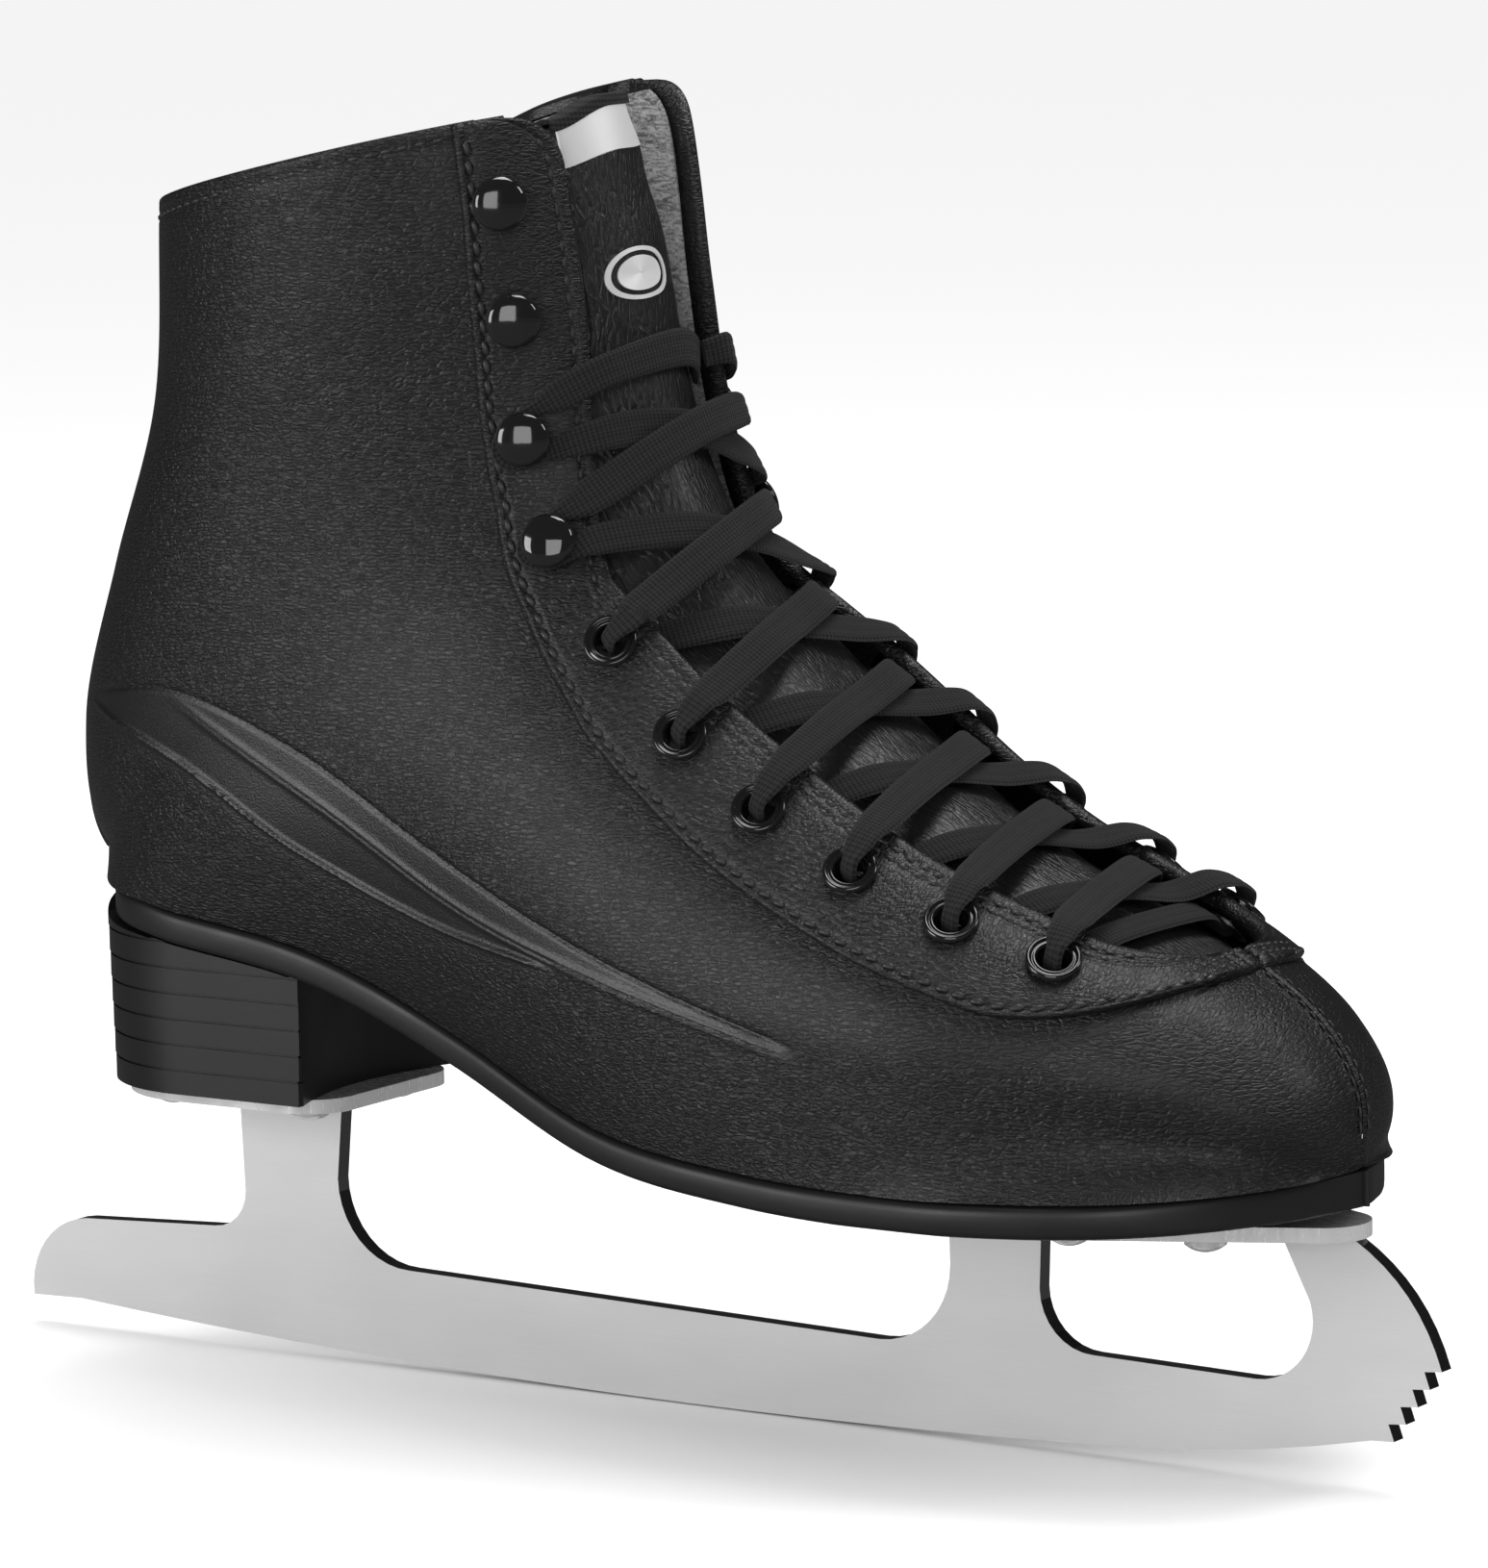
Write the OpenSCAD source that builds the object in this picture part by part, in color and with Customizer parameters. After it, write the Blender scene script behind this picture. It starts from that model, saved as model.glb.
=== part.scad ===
// Figure skate for the right foot, in millimetres.
// The toe points along +X, the lateral side faces -Y and +Z is up.
// The origin is where the rocker touches the ice, on the blade's centre plane.

/* [Blade] */
// Thickness of the runner
blade_t = 3.2; // [2.8:0.1:3.8]
// Radius of the main rocker
rocker_r = 1750; // [1600:50:2200]
// Radius that the spin rocker adds ahead of the ball
spin_r = 320; // [280:10:500]
// Thickness of the two mounting plates
plate_t = 2.5; // [2:0.1:2.6]
// Number of points on the toe pick
pick_count = 5; // [5:1:5]
// Diameter of the screw heads
screw_head_d = 7; // [6:0.5:8]

/* [Sole] */
// Widest half width of the sole, at the ball of the foot
sole_w = 44.5; // [42:0.5:47]
// Half width of the waist and the heel
heel_w = 29.5; // [28:0.5:31]
// Thickness of the outsole
outsole_t = 6; // [5.6:0.1:6.2]
// Number of lifts in the heel stack
lift_count = 9; // [7:1:10]

/* [Leather] */
// Thickness of the upper leather
leather_t = 1.7; // [1.4:0.1:1.8]
// Thickness of the facing that lies on the upper
facing_t = 1.2; // [1:0.1:1.4]
// Thickness of the toe puff and the heel counter
stiffener_t = 1.3; // [1:0.1:1.4]
// Thickness of the lining
lining_t = 0.8; // [0.6:0.1:1]

/* [Lacing] */
// Outer radius of the eyelet ring
eyelet_r = 4.6; // [4.4:0.1:4.8]
// Radius of the hole in an eyelet
eyelet_hole_r = 2.7; // [2.5:0.1:2.8]
// Radius of a lace hook's dome
hook_r = 4.6; // [4.2:0.1:4.8]
// Width of the lace where it lies flat
lace_w = 6.5; // [6:0.5:7]
// Thickness of the lace
lace_t = 1.1; // [0.9:0.1:1.2]

/* [Hidden] */

// Gap that keeps neighbouring layers apart, and a wider one round the curved stiffeners
gap = 0.35;
wide_gap = 0.6;
// Top of the sole plate, where the flat of the outsole rests
sole_rest_z = 43.5;
// Top of the heel plate, where the heel block rests
heel_rest_z = 49.8;
// Height of the underside of each plate, where the stanchions end
sole_plate_z = sole_rest_z - plate_t;
heel_plate_z = heel_rest_z - plate_t;
// Sections along the boot, counted from the toe to the collar
steps = 28;
// The sections cross the back corner of the heel seat here
heel_u = 10 / 14;
toe_x = 131;

// ---- The shape of the boot ----
// Two profiles in the XZ plane, paired point by point from the toe to the collar.
FRONT = [[130.5, 53], [129.8, 66.5], [121, 78], [105, 87.3], [86, 96], [67, 105.2], [49, 115.8],
    [33, 127.5], [20, 140], [10.5, 152.5], [4.5, 165], [1, 178], [-1.5, 192], [-4.5, 206.5], [-8, 222]];
BACK = [[130.5, 53], [124, 52.2], [108, 51], [88, 50], [64, 49.5], [36, 50.6], [5, 54.6],
    [-28, 66.5], [-60, 78], [-92, 83.3], [-117.5, 88.5], [-122, 110], [-113.5, 138], [-102, 168],
    [-98.5, 203]];
// Half width of the boot on each of those sections
GIRTH = [0, 16.6, 27, 37, 43.6, 45, 42.5, 39.5, 37.5, 36.5, 36, 36, 37, 39, 41];
// Where the widest point lies between the two profiles
WAIST = [0.6, 0.6, 0.6, 0.6, 0.6, 0.6, 0.58, 0.56, 0.55, 0.55, 0.52, 0.5, 0.5, 0.5, 0.5];
// Roundness of a section: 2 is an ellipse and more is squarer
round_n = 2.15;

function clamp01(x) = min(max(x, 0), 1);
function lerp(a, b, t) = a + (b - a) * t;
function smooth(t) = let (c = clamp01(t)) c * c * (3 - 2 * c);

// A smooth curve through the points P, at u from 0 to 1 and a little beyond
function curve(P, u) = let (
        n = len(P) - 1,
        t = max(u, 0) * n,
        i = min(floor(t), n - 1),
        f = t - i,
        b = P[i],
        c = P[i + 1],
        a = i > 0 ? P[i - 1] : 2 * b - c,
        d = i < n - 1 ? P[i + 2] : 2 * c - b
    )
    0.5 * (2 * b + (c - a) * f + (2 * a - 5 * b + 4 * c - d) * f * f + (3 * b - a - 3 * c + d) * f * f * f);

// Straight steps between the values P, at u from 0 to 1
function ramp(P, u) = let (
        n = len(P) - 1,
        t = clamp01(u) * n,
        i = min(floor(t), n - 1)
    )
    lerp(P[i], P[i + 1], t - i);

// Half width of the sole at x: round toe, wide ball, narrow waist, round heel
function sole_half(x) = let (
        toe = 1 - pow(clamp01((x - 68) / (toe_x - 68)), 2.2),
        heel = 1 - pow(clamp01((-86 - x) / (-86 - BACK[10][0])), 2.2),
        mid = lerp(heel_w, sole_w, 0.5 - 0.5 * cos(180 * clamp01((x + 45) / 105)))
    )
    mid * sqrt(max(toe, 0)) * sqrt(max(heel, 0));

// How far the middle of the boot swings to the lateral side
function swing(x, z) = let (
        waist = pow(cos(90 * min(abs(x - 2) / 52, 1)), 2),
        toe = pow(clamp01((x - 80) / 50), 1.5)
    )
    -(2.5 * waist + 3.2 * toe) * (1 - smooth((z - 90) / 50));

// Unit normal of a profile in its own plane, to the left of its direction
function profile_normal(P, u) = let (
        d = curve(P, u + 0.001) - curve(P, max(u - 0.001, 0)),
        n = [-d[1], d[0]]
    )
    n / norm(n);

// Half width of a section, rounded off towards the nose
function girth(u) = let (t = max(u, 0.0001) * (len(GIRTH) - 1))
    t < 1 ? GIRTH[1] * pow(t, 0.7) : curve(GIRTH, u);
// How much wider than its middle a section may be where it meets the sole
function flare(u) = lerp(1.9, 1.45, clamp01(u * (len(GIRTH) - 1)));

// The medial side is flatter near the top. How much of the half width stays there, by v in tenths
SLIM = [1, 0.86, 0.7, 0.62, 0.65, 0.74, 0.85, 0.93, 0.97, 0.99, 1];
function slimmed(u) = smooth((u - 0.7) / 0.2);
// The facing keeps its width on the flatter side, so v is spread there: pairs of v and its new place
SPREAD = [[0, 0], [0.137, 0.105], [0.272, 0.325], [0.55, 0.56], [1, 1]];
function drawn(u, v) = v <= 0 ? v : lerp(v, lookup(v, SPREAD), slimmed(u));
// How far the medial side stands forward of the lateral one, and how much higher its top is
function forward(u, v) = smooth((u - 0.34) / 0.17) * lerp(4.8, 2.2, smooth((u - 0.52) / 0.12))
    * smooth(v / 0.1) * exp(-pow((v - 0.19) / 0.12, 2));
function higher(u, v) = 5 * smooth((u - 0.86) / 0.14) * smooth(v / 0.1) * exp(-pow((v - 0.32) / 0.3, 2));

// A point on the boot. u runs from the toe to the collar. v runs from the lateral feather edge
// or back seam (-1) over the front (0) to the medial one (1). off is the distance outwards.
function skin(u, v, off) = let (
        f = curve(FRONT, u) - profile_normal(FRONT, u) * off,
        seat = curve(BACK, u),
        b = seat + profile_normal(BACK, u) * off,
        w = girth(u),
        hem = u < heel_u ? min(sole_half(seat[0]) / max(w, 0.01), flare(u)) : 0,
        a = abs(drawn(u, v)),
        slim = v <= 0 ? 1 : lerp(1, curve(SLIM, a), slimmed(u)),
        wide = w * slim + off * w / sqrt(w * w + 64),
        waist = ramp(WAIST, u),
        front = a <= 0.5,
        part = front ? 1 - cos(180 * a) : sin(180 * (a - 0.5)),
        depth = front ? waist * part : waist + (1 - waist) * part,
        bulge = front ? pow(1 - pow(1 - part, round_n), 1 / round_n)
            : pow(max(1 - pow(part, round_n) * (1 - pow(hem, round_n)), 0), 1 / round_n),
        p = lerp(f, b, depth) - profile_normal(FRONT, u) * forward(u, v) + [0, higher(u, v)]
    )
    [p[0], swing(p[0], p[1]) + sign(v) * wide * bulge, p[1]];

// Outward normal of the boot
function skin_normal(u, v) = let (
        du = skin(u + 0.004, v, 0) - skin(u - 0.004, v, 0),
        dv = skin(u, v + 0.004, 0) - skin(u, v - 0.004, 0),
        n = cross(dv, du)
    )
    n / norm(n);

// Height of the feather edge over x, found on the BACK profile
function seat_u(x, lo = 0, hi = heel_u, n = 18) = let (mid = (lo + hi) / 2)
    n == 0 ? mid : curve(BACK, mid)[0] > x ? seat_u(x, mid, hi, n - 1) : seat_u(x, lo, mid, n - 1);
function seat_z(x) = curve(BACK, seat_u(x))[1];

// Edge of the throat and outer edge of the facing, as v at u
function throat_edge(u) = let (open = clamp01((u - 0.205) / 0.06))
    u <= 0.205 ? 0.001 : ramp([0.15, 0.165, 0.172, 0.19, 0.2, 0.165, 0.148, 0.142, 0.136],
        (u - 0.27) / 0.73) * sqrt(1 - pow(1 - open, 2)) + 0.001;
function facing_edge(u) = let (open = clamp01((u - 0.186) / 0.1))
    ramp([0.356, 0.35, 0.346, 0.335, 0.295, 0.275, 0.28, 0.282, 0.272], (u - 0.286) / 0.714)
        * sqrt(1 - pow(1 - open, 2));

// ---- Sheets and strips ----
// A closed sheet over the boot: us are its sections, vmap(u, s) gives v for s from 0 to 1,
// and outer(u, v) and inner(u, v) give how far its two faces stand off the boot.
module sheet(us, nv, vmap, outer, inner) {
    nu = len(us) - 1;
    row = nv + 1;
    layer = (nu + 1) * row;
    grid = [for (k = [0, 1]) for (u = us) for (j = [0 : nv])
        let (v = vmap(u, j / nv)) skin(u, v, k == 0 ? outer(u, v) : inner(u, v))];
    top = [for (i = [0 : nu - 1]) for (j = [0 : nv - 1])
        let (a = i * row + j, b = a + 1, c = a + row, d = c + 1)
            each [[a, b, d], [a, d, c]]];
    ends = [for (j = [0 : nv - 1]) each [
        let (a = j, b = j + 1) each [[a, b + layer, b], [a, a + layer, b + layer]],
        let (a = nu * row + j, b = a + 1) each [[a, b, b + layer], [a, b + layer, a + layer]]]];
    sides = [for (i = [0 : nu - 1]) each [
        let (a = i * row, b = a + row) each [[a, b, b + layer], [a, b + layer, a + layer]],
        let (a = i * row + nv, b = a + row) each [[a, b + layer, b], [a, a + layer, b + layer]]]];
    under = [for (t = top) [t[0] + layer, t[2] + layer, t[1] + layer]];
    polyhedron(grid, [for (t = concat(ends, top, sides, under)) [t[0], t[2], t[1]]], convexity = 8);
}

// Even sections, with extra ones where the toe and the heel turn
SECTIONS = concat([0.024], [for (i = [1 : 19]) i / steps], [0.692, 0.703, 0.7095],
    [for (i = [20 : steps]) i / steps]);
// Sections from u0 to u1, on the shared ones in between
function sections(u0, u1) = concat([u0],
    [for (u = SECTIONS) if (u > u0 + 0.003 && u < u1 - 0.003) u], [u1]);

// A plain slab under the foot, between two heights measured from the feather edge
module foot_slab(x0, x1, inset, z_low, z_high, n = 30) {
    xs = [for (i = [0 : n]) lerp(x0, x1, 0.5 - 0.5 * cos(180 * i / n))];
    pts = [for (x = xs) let (
            near = clamp01((x - x0) / (x1 - x0)),
            tip = sqrt(sqrt(max(1 - pow(abs(2 * near - 1), 12), 0))),
            w = max(sole_half(x) - inset, 0.8) * max(tip, 0.15),
            y = swing(x, seat_z(x))
        )
        each [[x, y - w, z_low(x)], [x, y + w, z_low(x)], [x, y + w, z_high(x)], [x, y - w, z_high(x)]]];
    tube(pts, 4);
}

// Joins rings of k points each into a closed tube with flat ends
module tube(pts, k) {
    n = len(pts) / k - 1;
    walls = [for (i = [0 : n - 1]) for (j = [0 : k - 1])
        let (a = i * k + j, b = i * k + (j + 1) % k, c = a + k, d = b + k)
            each [[a, d, b], [a, c, d]]];
    polyhedron(pts, concat(walls, [[for (j = [0 : k - 1]) j]], [[for (j = [k - 1 : -1 : 0]) n * k + j]]),
        convexity = 10);
}

// Puts its child on the boot at u, v, with +Z outwards and +X towards the throat
module on_skin(u, v) {
    z = skin_normal(u, v);
    to_throat = skin(u, v * 0.97, 0) - skin(u, v, 0);
    y = cross(z, to_throat);
    yn = y / norm(y);
    x = cross(yn, z);
    p = skin(u, v, 0);
    multmatrix([[x[0], yn[0], z[0], p[0]], [x[1], yn[1], z[1], p[1]], [x[2], yn[2], z[2], p[2]]])
        children();
}

// ---- Blade ----
function arc(x, y, r, a0, a1, n = 10) = [for (i = [0 : n])
    let (a = lerp(a0, a1, i / n)) [x + r * cos(a), y + r * sin(a)]];
function rocker(x) = x * x / (2 * rocker_r) + pow(max(x - 85, 0), 2) / (2 * spin_r);

// Points of the toe pick: the first tip and the step to the next
pick_tip = [144, 20.8];
pick_step = [-2.2, -3.1];
pick_cut = [-3.2, -0.25];

module blade_profile() {
    lead_from = [128, sole_plate_z];
    lead = pick_tip - lead_from;
    lead_out = [-lead[1], lead[0]] / norm(lead);
    polygon(concat(
        arc(-130.5, 6.4, 13.5, 187, 94),
        arc(-102.4, 28.3, 7, -90, 0, 6),
        [[-96.2, heel_plate_z], [-73.6, heel_plate_z]],
        arc(-60, 32.3, 15, 180, 270),
        arc(37.2, 29.4, 14.2, -90, 0),
        [[51.2, sole_plate_z], [69.4, sole_plate_z]],
        arc(79, 27, 10.2, 180, 270, 8),
        arc(109.8, 26.7, 10.6, -90, 18, 12),
        [[114.4, sole_plate_z]],
        [for (i = [0 : 7]) let (t = i / 8) lead_from + lead * t + lead_out * 10 * t * (1 - t)],
        [for (k = [0 : pick_count - 1]) each
            (k < pick_count - 1 ? [pick_tip + k * pick_step, pick_tip + k * pick_step + pick_cut]
                : [pick_tip + k * pick_step])],
        [for (x = [131 : -11 : -133]) [x, rocker(x)]]
    ));
}

module blade_runner() {
    color("silver")
        translate([0, blade_t / 2, 0]) rotate([90, 0, 0]) linear_extrude(blade_t) blade_profile();
}

// Screw places, mirrored over the blade's centre plane
SOLE_SCREWS = [[48, 15], [84, 17], [106, 11]];
HEEL_SCREWS = [[-104, 10], [-72, 13]];
screw_hole_r = 2.3;

module each_screw(places) {
    for (p = places, side = [-1, 1]) translate([p[0], side * p[1], 0]) children();
}

module sole_plate() {
    color("gainsboro") difference() {
        translate([0, 0, sole_plate_z]) linear_extrude(plate_t) {
            translate([56, 0]) circle(r = 22, $fn = 64);
            translate([84, 0]) circle(r = 24, $fn = 64);
            polygon([[56, -22], [84, -24], [84, 24], [56, 22]]);
            translate([121.5, 0]) circle(r = 8, $fn = 48);
            polygon([[92, -22.6], [125, -7.2], [125, 7.2], [92, 22.6]]);
        }
        each_screw(SOLE_SCREWS) translate([0, 0, sole_plate_z - 1])
            cylinder(r = screw_hole_r, h = plate_t + 2, $fn = 32);
    }
}

module heel_plate() {
    color("gainsboro") difference() {
        translate([0, 0, heel_plate_z]) linear_extrude(plate_t) {
            translate([-95.5, 0]) circle(r = 20.5, $fn = 64);
            translate([-95.5, -20.5]) square([24, 41]);
            for (side = [-1, 1]) translate([-71.5, side * 12.5]) circle(r = 8, $fn = 40);
            translate([-75, -12.5]) square([11.5, 25]);
        }
        each_screw(HEEL_SCREWS) translate([0, 0, heel_plate_z - 1])
            cylinder(r = screw_hole_r, h = plate_t + 2, $fn = 32);
    }
}

// A round-headed wood screw under a plate, its head's seat at z
module screw(z, length) {
    shank_r = screw_hole_r - 0.15;
    dome_r = screw_head_d * 0.75;
    translate([0, 0, z - 0.1]) intersection() {
        translate([0, 0, dome_r - 2.4]) sphere(r = dome_r, $fn = 40);
        translate([0, 0, -2.4]) cylinder(r = screw_head_d / 2, h = 2.4, $fn = 40);
    }
    translate([0, 0, z - 0.5]) cylinder(r = shank_r, h = plate_t + 0.8, $fn = 24);
    translate([0, 0, z]) cylinder(r = shank_r - 0.5, h = length, $fn = 24);
}

module sole_plate_screws() {
    color("white") each_screw(SOLE_SCREWS) screw(sole_plate_z, plate_t + 5);
}

module heel_plate_screws() {
    color("white") each_screw(HEEL_SCREWS) screw(heel_plate_z, plate_t + 16);
}

// Pilot holes for the screws
module pilots(places, z, depth) {
    each_screw(places) translate([0, 0, z - 1]) cylinder(r = screw_hole_r, h = depth + 1, $fn = 32);
}

// ---- Sole ----
outsole_top = function (x) seat_z(x) - 0.25;
outsole_bottom = function (x) let (z = seat_z(x) - outsole_t) x > 20 && x < 100 ? max(z, sole_rest_z + 0.1) : z;

module outsole() {
    color([0.09, 0.09, 0.09]) difference() {
        foot_slab(BACK[10][0] - 0.6, toe_x + 0.9, -0.7, outsole_bottom, outsole_top, 44);
        pilots(SOLE_SCREWS, sole_rest_z, 5);
    }
}

// The heel: a stack of lifts, drawn in at every joint, cut to the slope of the seat
module heel_block() {
    top = seat_z(-90);
    lift = (top + 8 - heel_rest_z) / lift_count;
    groove = 0.5;
    breast_r = 60;
    color([0.07, 0.07, 0.07]) difference() {
        for (k = [0 : lift_count - 1]) {
            r = lerp(26.3, heel_w - 0.2, k / lift_count);
            back_x = lerp(-117.6, -118.2, k / lift_count);
            front_x = lerp(-64.6, -60.6, k / lift_count);
            translate([0, 0, heel_rest_z + 0.1 + k * lift]) {
                linear_extrude(lift - groove) heel_outline(r, back_x, front_x);
                linear_extrude(lift) heel_outline(r - groove, back_x + groove, front_x - groove);
            }
        }
        under_seat();
        translate([breast_r - 70, 0, 0]) cylinder(r = breast_r, h = 100, $fn = 96);
        pilots(HEEL_SCREWS, heel_rest_z, 18);
    }
}

module heel_outline(r, back_x, front_x) {
    translate([back_x + r, 0]) circle(r = r, $fn = 72);
    translate([back_x + r, -r]) square([front_x - back_x - r, 2 * r]);
}

// Everything above the underside of the outsole, over the heel
module under_seat() {
    xs = [for (x = [-130 : 6 : -46]) x];
    rotate([90, 0, 0]) linear_extrude(90, center = true)
        polygon(concat([[-130, 120]], [for (x = xs) [x, outsole_bottom(max(x, BACK[10][0])) - 0.4]],
            [[-46, 120]]));
}

module steel_shank() {
    color("slategray") foot_strip(-78, 22, 7.5, 0.25, 1.45);
}

module forefoot_filler() {
    color("tan") foot_slab(30, 116, 8, function (x) seat_z(x) + 0.2, function (x) seat_z(x) + 1.6, 20);
}

module insole_board() {
    color("peru") foot_slab(-111.5, 122, 5.2, function (x) seat_z(x) + 1.9, function (x) seat_z(x) + 4.1, 34);
}

module footbed() {
    color([0.3, 0.3, 0.32])
        foot_slab(-108, 116, 10, function (x) seat_z(x) + 4.4, function (x) seat_z(x) + 8, 34);
}

// A straight strip that follows the seat
module foot_strip(x0, x1, half, z_low, z_high) {
    xs = [for (i = [0 : 12]) lerp(x0, x1, i / 12)];
    tube([for (x = xs) let (z = seat_z(x)) each [
        [x, -half, z + z_low], [x, half, z + z_low], [x, half, z + z_high], [x, -half, z + z_high]]], 4);
}

// ---- Upper ----
leather = [0.11, 0.11, 0.12];
skin_out = function (u, v) 0;
skin_in = function (u, v) -leather_t * (0.35 + 0.65 * smooth((u - 0.01) / 0.05));
// The lap where the facing covers the edge of the upper
lap_v = 0.03;
function quarter_edge(u) = u < 0.19 ? 0.002 : max(facing_edge(u) - lap_v * smooth((u - 0.19) / 0.05), 0.002);

module upper_half(side) {
    us = sections(0.014, 1);
    color(leather) sheet(us, 16,
        function (u, s) side < 0 ? lerp(-0.9995, -quarter_edge(u), s) : lerp(quarter_edge(u), 0.9995, s),
        skin_out, skin_in);
}

module lateral_upper() {
    upper_half(-1);
}

module medial_upper() {
    upper_half(1);
}

// Strip over the back seam. s runs from the medial side over the back to the lateral side.
function around_back(s, width) = s < 0.5 ? 1 - width * (1 - 2 * s) : -1 + width * (2 * s - 1);
// Strip on one side from v = a outwards to v = b, kept in the same winding on both sides
function side_strip(side, s, a, b) = side < 0 ? lerp(-b, -a, s) : lerp(a, b, s);

module back_stay() {
    color(leather) sheet(sections(heel_u + 0.004, 0.985), 4,
        function (u, s) around_back(s, 0.05 + 0.03 * (1 - smooth((u - heel_u) / 0.15))),
        function (u, v) 1.2, function (u, v) gap);
}

// Rolled strip over the top edge, from one facing round the back to the other
module collar_binding() {
    color(leather) sheet([1.0012, 1.009], 36,
        function (u, s) around_back(s, 1 - 0.285),
        function (u, v) 0.4, function (u, v) -lining_in(1, v) - 0.2);
}

module toe_puff() {
    color("wheat") sheet(sections(2 / steps, 0.135), 26,
        function (u, s) lerp(-0.87, 0.87, s),
        function (u, v) -leather_t - wide_gap - 0.05, function (u, v) -leather_t - wide_gap - stiffener_t);
}

// The counter wraps the heel; each half ends on the back seam
module heel_counter() {
    us = sections(17 / steps, 22.5 / steps);
    color("wheat") for (side = [-1, 1]) sheet(us, 8,
        function (u, s) side_strip(side, s, lerp(0.9, 0.62, smooth((u - 17 / steps) / 0.09))
            + 0.3 * smooth((u - 21 / steps) / 0.06), 0.9996),
        function (u, v) -leather_t - wide_gap, function (u, v) -leather_t - wide_gap - stiffener_t);
}

// Depth of the lining's outer face: it leaves room for stiffeners and padding away from the facing
function lining_depth(u, v) = leather_t + 2 * gap + 0.3
    + 3.2 * smooth((abs(v) - facing_edge(max(u, 0.25)) - 0.02) / 0.1)
    + (v > 0 ? 0.8 * smooth((u - 0.62) / 0.05) : 0);
function lining_in(u, v) = lining_depth(u, v) + lining_t;
// The lining stops at the facing over the eyelets and runs on to the throat behind the hooks
function lining_edge(u) = lerp(facing_edge(u), throat_edge(u) + 0.012, smooth((u - 0.62) / 0.05));

module quarter_lining(side) {
    color("darkgray") sheet(sections(7 / steps, 1), 14,
        function (u, s) side_strip(side, s, lining_edge(u), 0.992),
        function (u, v) -lining_depth(u, v), function (u, v) -lining_in(u, v));
}

module lateral_lining() {
    quarter_lining(-1);
}

module medial_lining() {
    quarter_lining(1);
}

module vamp_lining() {
    depth = leather_t + 2 * wide_gap + stiffener_t;
    color("gray") sheet(sections(2.3 / steps, 0.205), 22,
        function (u, s) lerp(-0.93, 0.93, s),
        function (u, v) -depth, function (u, v) -depth - lining_t);
}

module ankle_pad(side) {
    color("khaki") sheet(sections(22.8 / steps, 26.5 / steps), 8,
        function (u, s) side_strip(side, s, 0.46, 0.85),
        function (u, v) -leather_t - gap, function (u, v) -leather_t - gap - 1.5);
}

module lateral_ankle_pad() {
    ankle_pad(-1);
}

module medial_ankle_pad() {
    ankle_pad(1);
}

// ---- Facings, eyelets and hooks ----
// Places up the facing, as [u, v]
EYES = [[0.263, 0.23], [0.322, 0.242], [0.386, 0.251], [0.45, 0.259], [0.514, 0.259], [0.592, 0.246]];
HOOKS = [[0.683, 0.234], [0.776, 0.234], [0.867, 0.234], [0.948, 0.234]];
facing_low = 0.25;
facing_top = facing_low + facing_t;
barrel_r = eyelet_hole_r + 0.5;
rivet_r = 1.4;
throat_sections = [0.188, 0.192, 0.198, 0.205, 0.209, 0.214, 0.224, 0.237, 0.25];

module each_place(places, side) {
    for (p = places) on_skin(p[0], side * p[1]) children();
}

// Holes for the eyelets and the hooks' rivets
module lacing_holes(side) {
    each_place(EYES, side) translate([0, 0, -6]) cylinder(r = barrel_r + 0.15, h = 10, $fn = 32);
    each_place(HOOKS, side) translate([0, 0, -2.3]) cylinder(r = rivet_r + 0.15, h = 6, $fn = 24);
}

module facing(side) {
    color(leather) difference() {
        sheet(concat(throat_sections, sections(0.27, 1)), 5,
            function (u, s) side_strip(side, s, throat_edge(u), facing_edge(u)),
            function (u, v) facing_top, function (u, v) facing_low);
        lacing_holes(side);
    }
}

module lateral_facing() {
    facing(-1);
}

module medial_facing() {
    facing(1);
}

// Stiff layer under a facing, beside the upper's edge
module facing_backing(side) {
    color("dimgray") difference() {
        sheet(concat([0.232, 0.24, 0.25], sections(0.27, 1)), 5,
            function (u, s) side_strip(side, s, throat_edge(u) + 0.006, quarter_edge(u) - 0.008),
            function (u, v) 0, function (u, v) -leather_t);
        lacing_holes(side);
    }
}

module lateral_facing_backing() {
    facing_backing(-1);
}

module medial_facing_backing() {
    facing_backing(1);
}

// Half section of an eyelet, turned about its axis: a rolled rim on a thin barrel
module eyelets() {
    low = -leather_t - 0.9;
    seat = facing_top + 0.25;
    rim = seat + 0.9;
    color("black") for (side = [-1, 1]) each_place(EYES, side) rotate_extrude($fn = 24)
        polygon([[eyelet_hole_r, low], [barrel_r, low], [barrel_r, seat], [eyelet_r, seat],
            [eyelet_r, rim - 0.6], [eyelet_r - 0.4, rim - 0.1], [eyelet_r - 0.9, rim],
            [eyelet_hole_r + 0.6, rim - 0.1], [eyelet_hole_r, rim - 0.6]]);
}

// Washers that clench the eyelets inside the boot
module eyelet_washers() {
    color("gray") for (side = [-1, 1]) each_place(EYES, side) translate([0, 0, -leather_t - 0.85])
        rotate_extrude($fn = 24) translate([barrel_r + 0.05, 0]) square([1, 0.5]);
}

// A hook: a foot on the leather, a neck and a button that keeps the lace under it
hook_foot_z = facing_top + 0.25;
hook_lace_z = facing_top + 2.65;

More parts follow.
